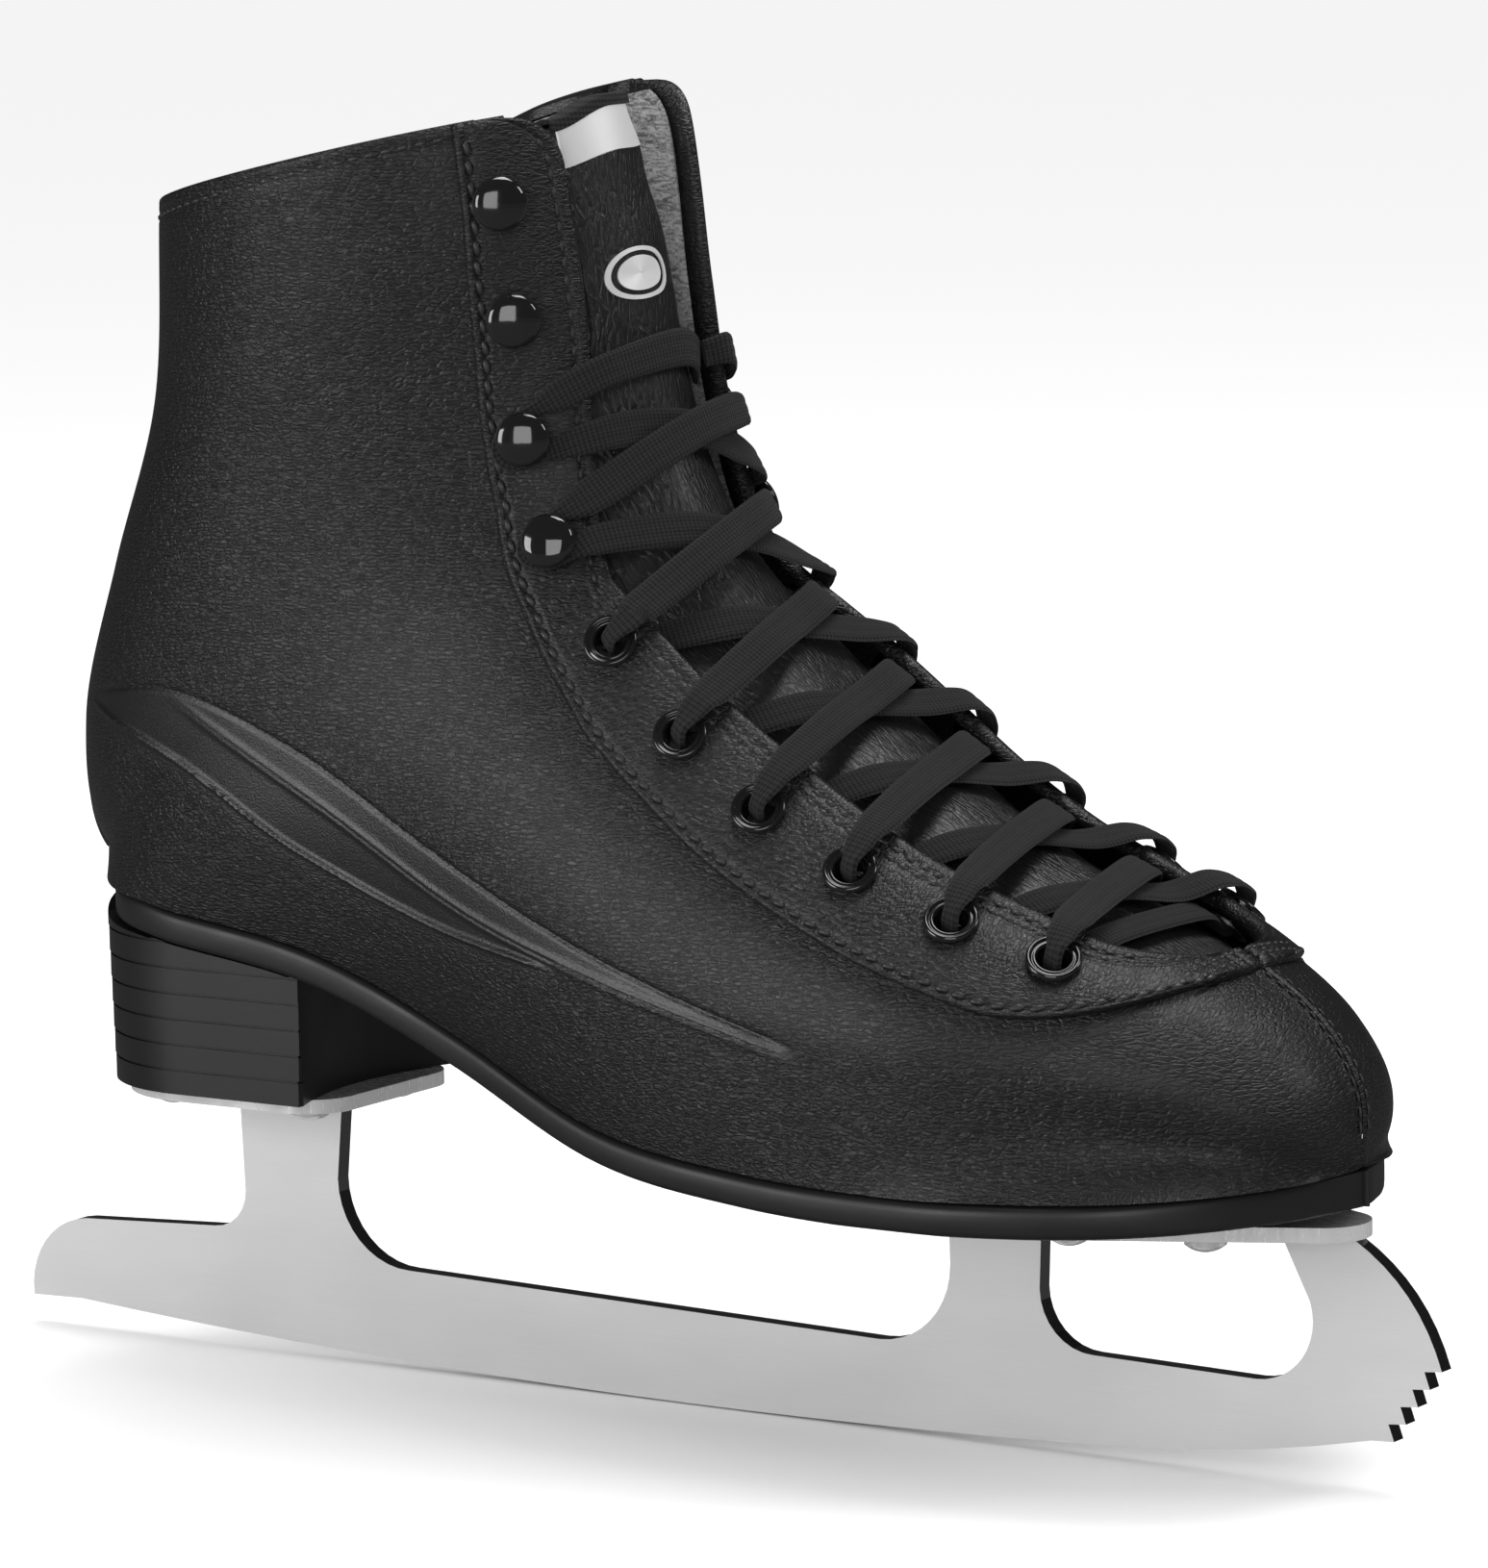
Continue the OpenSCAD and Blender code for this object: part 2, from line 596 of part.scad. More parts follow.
module hooks() {
    foot_t = 0.7;
    neck_h = 4.6;
    cap_h = 2.1;
    cap_r = (hook_r * hook_r + cap_h * cap_h) / (2 * cap_h);
    color("black") for (side = [-1, 1]) each_place(HOOKS, side) {
        translate([0, 0, hook_foot_z]) cylinder(r = 3.7, h = foot_t, $fn = 32);
        translate([0, 0, hook_foot_z]) cylinder(r = 1.3, h = neck_h, $fn = 24);
        translate([0, 0, hook_foot_z + neck_h - 0.6]) intersection() {
            translate([0, 0, cap_h - cap_r]) sphere(r = cap_r, $fn = 40);
            cylinder(r = hook_r, h = cap_h, $fn = 40);
        }
    }
}

module hook_rivets() {
    color("gray") for (side = [-1, 1]) each_place(HOOKS, side) {
        translate([0, 0, -leather_t - 0.6]) cylinder(r = 2.5, h = 0.35, $fn = 24);
        translate([0, 0, -leather_t - 0.6]) cylinder(r = rivet_r, h = hook_foot_z + leather_t + 0.55, $fn = 24);
    }
}

// ---- Tongue ----
tongue_split = 0.836;
tongue_top = 1.003;
tongue_wide = 0.24;
tongue_narrow = 0.115;
function tongue_half(u) = tongue_wide * (0.55 + 0.45 * smooth((u - 0.19) / 0.12)) - 0.05 * smooth((u - 0.6) / 0.2);
function tongue_depth(u, v) = (u < 0.25 ? 5.5 : lerp(5.5, 3.7, smooth((u - 0.25) / 0.05)))
    + (u < 0.25 ? 0 : 2 * smooth(abs(v) / 0.15) * smooth((u - 0.25) / 0.05));

// One layer of the tongue between two depths below its face. edge(u, side) is its half width.
module tongue_layer(u0, u1, edge, d0, d1) {
    sheet(sections(u0, u1), 10,
        function (u, s) lerp(-edge(u, -1), edge(u, 1), s),
        function (u, v) -tongue_depth(u, v) - d0, function (u, v) -tongue_depth(u, v) - d1);
}

tongue_lower_edge = function (u, side) tongue_half(u);
// The top leans to the lateral side, so its medial edge draws in
tongue_upper_edge = function (u, side) side < 0 ? tongue_narrow + 0.005
    : lerp(tongue_narrow, 0.04, smooth((u - 0.84) / 0.115)) - 0.026 * smooth((u - 0.955) / 0.045);

module tongue_lower() {
    color(leather) tongue_layer(0.2, 0.828, tongue_lower_edge, 0, 1.2);
}

module tongue_lower_padding() {
    color("khaki") tongue_layer(0.24, 0.828, tongue_lower_edge, 1.45, 5);
}

module tongue_lower_lining() {
    color("darkgray") tongue_layer(0.24, 0.828, tongue_lower_edge, 5.25, 6);
}

module tongue_upper() {
    color(leather) tongue_layer(tongue_split, tongue_top, tongue_upper_edge, 0, 1.2);
}

module tongue_upper_padding() {
    color("khaki") tongue_layer(tongue_split, tongue_top - 0.002, tongue_upper_edge, 1.45, 5);
}

module tongue_upper_lining() {
    color("darkgray") tongue_layer(tongue_split, tongue_top, tongue_upper_edge, 5.25, 6);
}

module tongue_panel() {
    color("silver") tongue_layer(0.966, 1.0, function (u, side) tongue_upper_edge(u, side) - 0.004, -0.45, -0.15);
}

module tongue_binding() {
    color("black") tongue_layer(tongue_top + 0.002, tongue_top + 0.008, tongue_upper_edge, -0.4, 6.2);
}

// ---- Lace ----
edge_z = facing_top + 1.3;
under_z = -leather_t - 1.5;
deep_z = -leather_t - 2.3;
hole_w = 2.8;
hole_t = 1.4;
bunch_w = 2.5;
bunch_t = 1.7;

// A point of the lace on one side: place, face direction, width and thickness.
// lean 0 lays the lace flat and 1 stands it up, facing the throat. face is 1 or -1.
function knot(u, v, off, face, lean, w, t) = let (
        n = skin_normal(u, v),
        d = skin(u, v * 0.97, 0) - skin(u, v, 0),
        to_throat = lean > 0 ? d / norm(d) : [0, 0, 0]
    )
    [skin(u, v, 0) + n * off, face * (n * (1 - lean) + to_throat * lean), w, t];

// From one hole up over the facing, across the throat and under the other facing
function strand(e, g, side, face) = let (
        du = g[0] - e[0],
        over = side < 0,
        at = function (v) e[0] + du * clamp01((e[1] - side * v) / (e[1] + g[1])),
        e0 = throat_edge(at(side * 0.17)),
        e1 = throat_edge(at(-side * 0.17))
    )
    [
        knot(e[0], side * e[1], -2.3, -face, 1, hole_w, hole_t),
        knot(e[0], side * e[1], 3, -face, 1, hole_w, hole_t),
        knot(at(side * (e[1] - 0.033)), side * (e[1] - 0.033), facing_top + 3, face, 0, 5, 1.2),
        knot(at(side * e0), side * e0, edge_z, face, 0, lace_w, lace_t),
        knot(at(side * 0.09), side * 0.09, over ? 0.5 : -2, face, 0, lace_w, lace_t),
        knot(at(0), 0, over ? -0.6 : -2.4, face, 0, lace_w, lace_t),
        knot(at(-side * 0.09), -side * 0.09, over ? -0.5 : -2.4, face, 0, lace_w, lace_t),
        knot(at(-side * e1), -side * e1, under_z, face, 0, lace_w - 1, lace_t),
        knot(at(-side * (g[1] - 0.035)), -side * (g[1] - 0.035), deep_z, face, 0, 5.2, 1.2),
    ];

// From a place up over one facing, across and on top of the other facing to a hook
function free_strand(e, g, side, face) = let (
        du = g[0] - e[0],
        over = side < 0,
        at = function (v) e[0] + du * clamp01((e[1] - side * v) / (e[1] + g[1])),
        e0 = throat_edge(at(side * 0.17)),
        e1 = throat_edge(at(-side * 0.17))
    )
    [
        knot(at(side * e0), side * e0, edge_z + 0.6, face, 0, lace_w, lace_t),
        knot(at(side * 0.09), side * 0.09, over ? 0.9 : -1.4, face, 0, lace_w, lace_t),
        knot(at(0), 0, over ? 0.2 : -1.7, face, 0, lace_w, lace_t),
        knot(at(-side * 0.09), -side * 0.09, over ? 0.9 : -1.2, face, 0, lace_w, lace_t),
        knot(at(-side * e1), -side * e1, edge_z + 0.6, face, 0, lace_w - 1, lace_t),
    ];

// Round the neck of a hook, from below to above
function round_hook(h, side, face) = let (r_u = 0.018, r_v = 0.025)
    [
        knot(h[0] - r_u, side * (h[1] - 0.012), hook_lace_z, face, 0, bunch_w, bunch_t),
        knot(h[0] - r_u * 0.8, side * (h[1] + r_v * 0.6), hook_lace_z, face, 0, bunch_w, bunch_t),
        knot(h[0], side * (h[1] + r_v), hook_lace_z, face, 0, bunch_w, bunch_t),
        knot(h[0] + r_u * 0.8, side * (h[1] + r_v * 0.6), hook_lace_z, face, 0, bunch_w, bunch_t),
        knot(h[0] + r_u, side * (h[1] - 0.012), hook_lace_z, face, 0, bunch_w, bunch_t),
    ];

// One half of the lace, from the middle of the lowest rung to its tucked end
function half_lace(side) = let (
        last = len(EYES) - 1,
        h0 = HOOKS[0],
        h1 = HOOKS[1],
        turn = function (k) k % 2 == 0 ? 1 : -1
    )
    concat(
        [
            knot(EYES[0][0], side * 0.09, -2.75, -1, 0, lace_w - 1, lace_t),
            knot(EYES[0][0], side * 0.16, under_z - 0.1, -1, 0, lace_w - 1, lace_t),
            knot(EYES[0][0], side * (EYES[0][1] - 0.035), deep_z, -1, 0, 5.2, 1.2),
        ],
        [for (k = [0 : last - 1]) each strand(EYES[k], EYES[k + 1], k % 2 == 0 ? side : -side, turn(k))],
        let (e = EYES[last], s = last % 2 == 0 ? side : -side, f = turn(last)) concat(
            [
                knot(e[0], s * e[1], -2.3, -f, 1, hole_w, hole_t),
                knot(e[0], s * e[1], 3, -f, 1, hole_w, hole_t),
                knot(e[0] + 0.004, s * (e[1] - 0.033), facing_top + 3, f, 0, 5, 1.2),
            ],
            free_strand(e, h0 - [0.01, 0], s, f),
            round_hook(h0, -s, f),
            free_strand(h0 + [0.014, 0], h1 - [0.014, 0], -s, f),
            round_hook(h1, s, f),
            [
                knot(h1[0] + 0.022, s * 0.185, edge_z + 1.2, f, 0, lace_w - 1, lace_t),
                knot(h1[0] + 0.025, s * 0.13, 2.4, f, 0, lace_w - 1, lace_t),
            ],
            s < 0 ? [
                knot(h1[0] + 0.025, 0, -1.4, f, 0, lace_w, lace_t),
                knot(h1[0] + 0.02, 0.08, -2.6, f, 0, lace_w, lace_t),
                knot(h1[0] + 0.016, 0.15, -4.5, f, 0, lace_w - 1, lace_t),
            ] : [
                knot(h1[0] + 0.02, 0.09, -1.6, f, 0, lace_w - 2, lace_t),
            ])
    );

lace_steps = 2;

module lace() {
    left = half_lace(-1);
    right = half_lace(1);
    n = len(left) - 1;
    knots = concat([for (i = [n : -1 : 0]) left[i]], right);
    m = len(knots) - 1;
    rings = [for (i = [0 : m * lace_steps]) let (
            t = i / lace_steps,
            j = min(floor(t), m - 1),
            f = t - j,
            a = knots[max(j - 1, 0)],
            b = knots[j],
            c = knots[j + 1],
            d = knots[min(j + 2, m)],
            p = spline(a[0], b[0], c[0], d[0], f),
            dir = slope(a[0], b[0], c[0], d[0], f),
            face = lerp(b[1], c[1], smooth(f)),
            w = lerp(b[2], c[2], smooth(f)) / 2,
            h = lerp(b[3], c[3], smooth(f)) / 2,
            x = cross(dir, face) / norm(cross(dir, face)),
            y = cross(x, dir) / norm(cross(x, dir))
        )
        each [p - x * w, p - x * (w - 0.4) + y * h, p + x * (w - 0.4) + y * h,
            p + x * w, p + x * (w - 0.4) - y * h, p - x * (w - 0.4) - y * h]];
    color([0.06, 0.06, 0.06]) tube(rings, 6);
}

function spline(a, b, c, d, f) =
    0.5 * (2 * b + (c - a) * f + (2 * a - 5 * b + 4 * c - d) * f * f + (3 * b - a - 3 * c + d) * f * f * f);
function slope(a, b, c, d, f) =
    0.5 * ((c - a) + 2 * (2 * a - 5 * b + 4 * c - d) * f + 3 * (3 * b - a - 3 * c + d) * f * f);

blade_runner();
sole_plate();
heel_plate();
sole_plate_screws();
heel_plate_screws();
outsole();
heel_block();
steel_shank();
forefoot_filler();
insole_board();
footbed();
lateral_upper();
medial_upper();
back_stay();
collar_binding();
toe_puff();
heel_counter();
lateral_lining();
medial_lining();
vamp_lining();
lateral_ankle_pad();
medial_ankle_pad();
lateral_facing();
medial_facing();
lateral_facing_backing();
medial_facing_backing();
eyelets();
eyelet_washers();
hooks();
hook_rivets();
tongue_lower();
tongue_lower_padding();
tongue_lower_lining();
tongue_upper();
tongue_upper_padding();
tongue_upper_lining();
tongue_panel();
tongue_binding();
lace();
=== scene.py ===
"""Looks of the figure skate, laid over its CAD frame.

Blender works in metres. The boot's shape functions work in millimetres, as the part's source does,
and every mesh is scaled by MM when it is made. The toe points along +X and the lateral side faces -Y.
"""
import functools
import math

import bmesh
import bpy
from mathutils import Matrix, Vector, kdtree, noise


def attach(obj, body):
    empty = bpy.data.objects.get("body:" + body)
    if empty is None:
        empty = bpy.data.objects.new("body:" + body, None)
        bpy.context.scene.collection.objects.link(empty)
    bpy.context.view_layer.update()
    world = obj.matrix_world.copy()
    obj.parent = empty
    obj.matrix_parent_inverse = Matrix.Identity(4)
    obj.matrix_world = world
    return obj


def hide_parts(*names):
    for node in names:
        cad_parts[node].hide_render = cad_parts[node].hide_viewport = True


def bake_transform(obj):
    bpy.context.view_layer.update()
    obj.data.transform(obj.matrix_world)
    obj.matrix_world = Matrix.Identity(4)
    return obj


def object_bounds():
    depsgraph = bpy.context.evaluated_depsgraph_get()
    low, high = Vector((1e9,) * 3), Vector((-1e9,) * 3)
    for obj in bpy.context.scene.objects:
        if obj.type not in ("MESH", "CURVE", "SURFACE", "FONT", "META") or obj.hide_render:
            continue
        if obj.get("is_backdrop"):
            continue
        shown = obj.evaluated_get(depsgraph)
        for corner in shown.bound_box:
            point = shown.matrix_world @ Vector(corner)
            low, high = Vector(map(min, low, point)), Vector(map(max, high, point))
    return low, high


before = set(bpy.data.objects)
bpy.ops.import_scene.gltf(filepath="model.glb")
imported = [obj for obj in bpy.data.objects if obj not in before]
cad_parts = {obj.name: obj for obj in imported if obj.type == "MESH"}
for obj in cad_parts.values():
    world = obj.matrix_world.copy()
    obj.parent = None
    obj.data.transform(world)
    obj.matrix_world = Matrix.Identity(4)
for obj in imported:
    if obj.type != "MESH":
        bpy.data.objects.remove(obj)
cad_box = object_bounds()

MM = 0.001
SIDES = {"lateral": -1, "medial": 1}

# ---- The shape of the boot, as in the part ----
FRONT = [Vector(p) for p in (
    (130.5, 53), (129.8, 66.5), (121, 78), (105, 87.3), (86, 96), (67, 105.2), (49, 115.8),
    (33, 127.5), (20, 140), (10.5, 152.5), (4.5, 165), (1, 178), (-1.5, 192), (-4.5, 206.5), (-8, 222))]
BACK = [Vector(p) for p in (
    (130.5, 53), (124, 52.2), (108, 51), (88, 50), (64, 49.5), (36, 50.6), (5, 54.6),
    (-28, 66.5), (-60, 78), (-92, 83.3), (-117.5, 88.5), (-122, 110), (-113.5, 138), (-102, 168),
    (-98.5, 203))]
GIRTH = [0, 16.6, 27, 37, 43.6, 45, 42.5, 39.5, 37.5, 36.5, 36, 36, 37, 39, 41]
WAIST = [0.6, 0.6, 0.6, 0.6, 0.6, 0.6, 0.58, 0.56, 0.55, 0.55, 0.52, 0.5, 0.5, 0.5, 0.5]
ROUND_N = 2.15
HEEL_U = 10 / 14
TOE_X = 131
SOLE_W = 44.5
HEEL_W = 29.5
HEEL_X = -117.5
OUTSOLE_T = 6
SOLE_REST_Z = 43.5
LEATHER_T = 1.7
LINING_T = 0.8
FACING_TOP = 1.45
# On the medial side near the top: how much half width stays by v in tenths, and where v moves to
SLIM = [1, 0.86, 0.7, 0.62, 0.65, 0.74, 0.85, 0.93, 0.97, 0.99, 1]
SPREAD = [(0, 0), (0.137, 0.105), (0.272, 0.325), (0.55, 0.56), (1, 1)]
EYES = [(0.263, 0.23), (0.322, 0.242), (0.386, 0.251), (0.45, 0.259), (0.514, 0.259), (0.592, 0.246)]
HOOKS = [(0.683, 0.234), (0.776, 0.234), (0.867, 0.234), (0.948, 0.234)]


def clamp01(x):
    return min(max(x, 0.0), 1.0)


def lerp(a, b, t):
    return a + (b - a) * t


def smooth(t):
    c = clamp01(t)
    return c * c * (3 - 2 * c)


def bell(x, width):
    return math.exp(-(x / width) ** 2)


def catmull(a, b, c, d, f):
    return 0.5 * (2 * b + (c - a) * f + (2 * a - 5 * b + 4 * c - d) * f * f
                  + (3 * b - a - 3 * c + d) * f * f * f)


def curve(points, u):
    """A smooth curve through the points, at u from 0 to 1 and a little beyond."""
    n = len(points) - 1
    t = max(u, 0) * n
    i = min(int(t), n - 1)
    b, c = points[i], points[i + 1]
    a = points[i - 1] if i > 0 else 2 * b - c
    d = points[i + 2] if i < n - 1 else 2 * c - b
    return catmull(a, b, c, d, t - i)


def ramp(values, u):
    """Straight lines between even values, at u from 0 to 1."""
    n = len(values) - 1
    t = clamp01(u) * n
    i = min(int(t), n - 1)
    return lerp(values[i], values[i + 1], t - i)


def steps(a, b, n):
    return [lerp(a, b, i / n) for i in range(n + 1)]


def sole_half(x):
    """Half width of the sole at x."""
    toe = 1 - clamp01((x - 68) / (TOE_X - 68)) ** 2.2
    heel = 1 - clamp01((-86 - x) / (-86 - HEEL_X)) ** 2.2
    mid = lerp(HEEL_W, SOLE_W, 0.5 - 0.5 * math.cos(math.pi * clamp01((x + 45) / 105)))
    return mid * math.sqrt(max(toe, 0)) * math.sqrt(max(heel, 0))


def swing(x, z):
    """How far the middle of the boot swings to the lateral side."""
    waist = math.cos(math.pi / 2 * min(abs(x - 2) / 52, 1)) ** 2
    toe = clamp01((x - 80) / 50) ** 1.5
    return -(2.5 * waist + 3.2 * toe) * (1 - smooth((z - 90) / 50))


def profile_normal(points, u):
    """Unit normal of a profile in side view."""
    d = curve(points, u + 0.001) - curve(points, max(u - 0.001, 0))
    return Vector((-d.y, d.x)).normalized()


@functools.lru_cache(maxsize=None)
def section(u):
    """What skin() needs of the section at u."""
    t = max(u, 0.0001) * (len(GIRTH) - 1)
    width = GIRTH[1] * t ** 0.7 if t < 1 else curve(GIRTH, u)
    seat = curve(BACK, u)
    flare = lerp(1.9, 1.45, clamp01(u * 14))
    hem = min(sole_half(seat.x) / max(width, 0.01), flare) if u < HEEL_U else 0
    return (curve(FRONT, u), profile_normal(FRONT, u), seat, profile_normal(BACK, u), width, hem,
            ramp(WAIST, u))


def slimmed(u):
    """The medial side is flatter near the top: from 0 below to 1 there."""
    return smooth((u - 0.7) / 0.2)


def drawn(u, v):
    """The facing keeps its width on the flatter side, so v is spread there."""
    if v <= 0:
        return v
    low, high = next((a, b) for a, b in zip(SPREAD, SPREAD[1:]) if v <= b[0] or b is SPREAD[-1])
    place = lerp(low[1], high[1], (v - low[0]) / (high[0] - low[0]))
    return lerp(v, place, slimmed(u))


def forward(u, v):
    """How far the medial side stands forward of the lateral one."""
    amount = smooth((u - 0.34) / 0.17) * lerp(4.8, 2.2, smooth((u - 0.52) / 0.12))
    return amount * smooth(v / 0.1) * bell(v - 0.19, 0.12)


def higher(u, v):
    """How much higher the top of the medial side is."""
    return 5 * smooth((u - 0.86) / 0.14) * smooth(v / 0.1) * bell(v - 0.32, 0.3)


def skin(u, v, off=0.0):
    """A point on the boot. u runs from the toe to the collar, and v from the lateral feather edge
    or back seam (-1) over the front (0) to the medial one (1). off is the distance outwards."""
    front, front_n, back, back_n, width, hem, waist = section(u)
    f = front - front_n * off
    b = back + back_n * off
    a = abs(drawn(u, v))
    slim = lerp(1, curve(SLIM, a), slimmed(u)) if v > 0 else 1
    wide = width * slim + off * width / math.sqrt(width * width + 64)
    if a <= 0.5:
        part = 1 - math.cos(math.pi * a)
        depth = waist * part
        bulge = (1 - (1 - part) ** ROUND_N) ** (1 / ROUND_N)
    else:
        part = math.sin(math.pi * (a - 0.5))
        depth = waist + (1 - waist) * part
        bulge = max(1 - part ** ROUND_N * (1 - hem ** ROUND_N), 0) ** (1 / ROUND_N)
    p = f.lerp(b, depth) - front_n * forward(u, v)
    p.y += higher(u, v)
    y = math.copysign(wide * bulge, v) if v else 0
    return Vector((p.x, swing(p.x, p.y) + y, p.y))


def skin_normal(u, v):
    du = skin(u + 0.004, v) - skin(u - 0.004, v)
    dv = skin(u, v + 0.004) - skin(u, v - 0.004)
    return dv.cross(du).normalized()


def per_v(u, v):
    """Millimetres across the boot for each unit of v."""
    return (skin(u, v + 0.004) - skin(u, v - 0.004)).length / 0.008


def per_u(u, v):
    """Millimetres up the boot for each unit of u."""
    return (skin(u + 0.002, v) - skin(u - 0.002, v)).length / 0.004


def on_skin(u, v):
    """A frame on the boot, with +Z outwards and +X towards the throat."""
    z = skin_normal(u, v)
    y = z.cross(skin(u, v * 0.97) - skin(u, v)).normalized()
    x = y.cross(z)
    return Matrix.Translation(skin(u, v)) @ Matrix((x, y, z)).transposed().to_4x4()


@functools.lru_cache(maxsize=None)
def seat_z(x):
    """Height of the feather edge at x."""
    low, high = 0.0, HEEL_U
    for _ in range(24):
        mid = (low + high) / 2
        if curve(BACK, mid).x > x:
            low = mid
        else:
            high = mid
    return curve(BACK, (low + high) / 2).y


def throat_edge(u):
    """Edge of the throat, as v at u."""
    if u <= 0.205:
        return 0.001
    opened = clamp01((u - 0.205) / 0.06)
    shape = ramp([0.15, 0.165, 0.172, 0.19, 0.2, 0.165, 0.148, 0.142, 0.136], (u - 0.27) / 0.73)
    return shape * math.sqrt(1 - (1 - opened) ** 2) + 0.001


def facing_edge(u):
    """Outer edge of the facing, as v at u."""
    opened = clamp01((u - 0.186) / 0.1)
    shape = ramp([0.356, 0.35, 0.346, 0.335, 0.295, 0.275, 0.28, 0.282, 0.272], (u - 0.286) / 0.714)
    return shape * math.sqrt(1 - (1 - opened) ** 2)


def quarter_edge(u):
    """Front edge of the quarter, under the facing, as v at u."""
    if u < 0.19:
        return 0.002
    return max(facing_edge(u) - 0.03 * smooth((u - 0.19) / 0.05), 0.002)


def by_hooks(u):
    """0 beside the eyelets and 1 beside the hooks."""
    return smooth((u - 0.62) / 0.05)


def lining_depth(u, v):
    """Depth of the lining's outer face. The ankle padding is between it and the leather."""
    padding = 3.2 * smooth((abs(v) - facing_edge(max(u, 0.25)) - 0.02) / 0.1)
    return LEATHER_T + 1 + padding + (0.8 * by_hooks(u) if v > 0 else 0)


# ---- Meshes ----
def make_object(name, points, faces, angle=40):
    """A smooth-shaded object from points in millimetres, with edges sharper than angle kept sharp."""
    mesh = bpy.data.meshes.new(name)
    mesh.from_pydata([Vector(p) * MM for p in points], [], faces)
    work = bmesh.new()
    work.from_mesh(mesh)
    bmesh.ops.recalc_face_normals(work, faces=work.faces)
    limit = math.radians(angle)
    for face in work.faces:
        face.smooth = True
    for edge in work.edges:
        if len(edge.link_faces) == 2 and edge.calc_face_angle(0) > limit:
            edge.smooth = False
    work.to_mesh(mesh)
    work.free()
    obj = bpy.data.objects.new(name, mesh)
    bpy.context.scene.collection.objects.link(obj)
    return obj


def ring_faces(count, size, start=0, closed=True, caps=True):
    """Faces that join count rings of size points each."""
    faces = []
    for i in range(count - 1):
        for j in range(size if closed else size - 1):
            a = start + i * size + j
            b = start + i * size + (j + 1) % size
            faces.append((a, b, b + size, a + size))
    if caps:
        faces.append([start + j for j in range(size)][::-1])
        faces.append([start + (count - 1) * size + j for j in range(size)])
    return faces


def loft(name, rings, caps=True, angle=40):
    points = [p for ring in rings for p in ring]
    return make_object(name, points, ring_faces(len(rings), len(rings[0]), caps=caps), angle)


def set_uvs(obj, uvs):
    """Gives each point its place in the weave, in millimetres."""
    layer = obj.data.uv_layers.new(name="UVMap")
    for loop in obj.data.loops:
        layer.data[loop.index].uv = uvs[loop.vertex_index]


def dress(obj, slot, material=None, body="boot", stands_for=()):
    """Gives a finished piece the material of its slot and its body, and hides the CAD nodes it stands for.
    """
    obj.data.materials.clear()
    obj.data.materials.append(material or MATERIALS[slot])
    if body:
        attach(obj, body)
    if stands_for:
        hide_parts(*stands_for)
    return obj


def lathe(name, profile, places, count=56):
    """Turns a closed profile of (radius, height) about the axis of each place."""
    points, faces = [], []
    size = len(profile)
    for place in places:
        start = len(points)
        for i in range(count):
            turn = 2 * math.pi * i / count
            points += [place @ Vector((r * math.cos(turn), r * math.sin(turn), z)) for r, z in profile]
        for i in range(count):
            a, b = start + i * size, start + (i + 1) % count * size
            faces += [(a + j, a + (j + 1) % size, b + (j + 1) % size, b + j) for j in range(size)]
    return make_object(name, points, faces, 50)


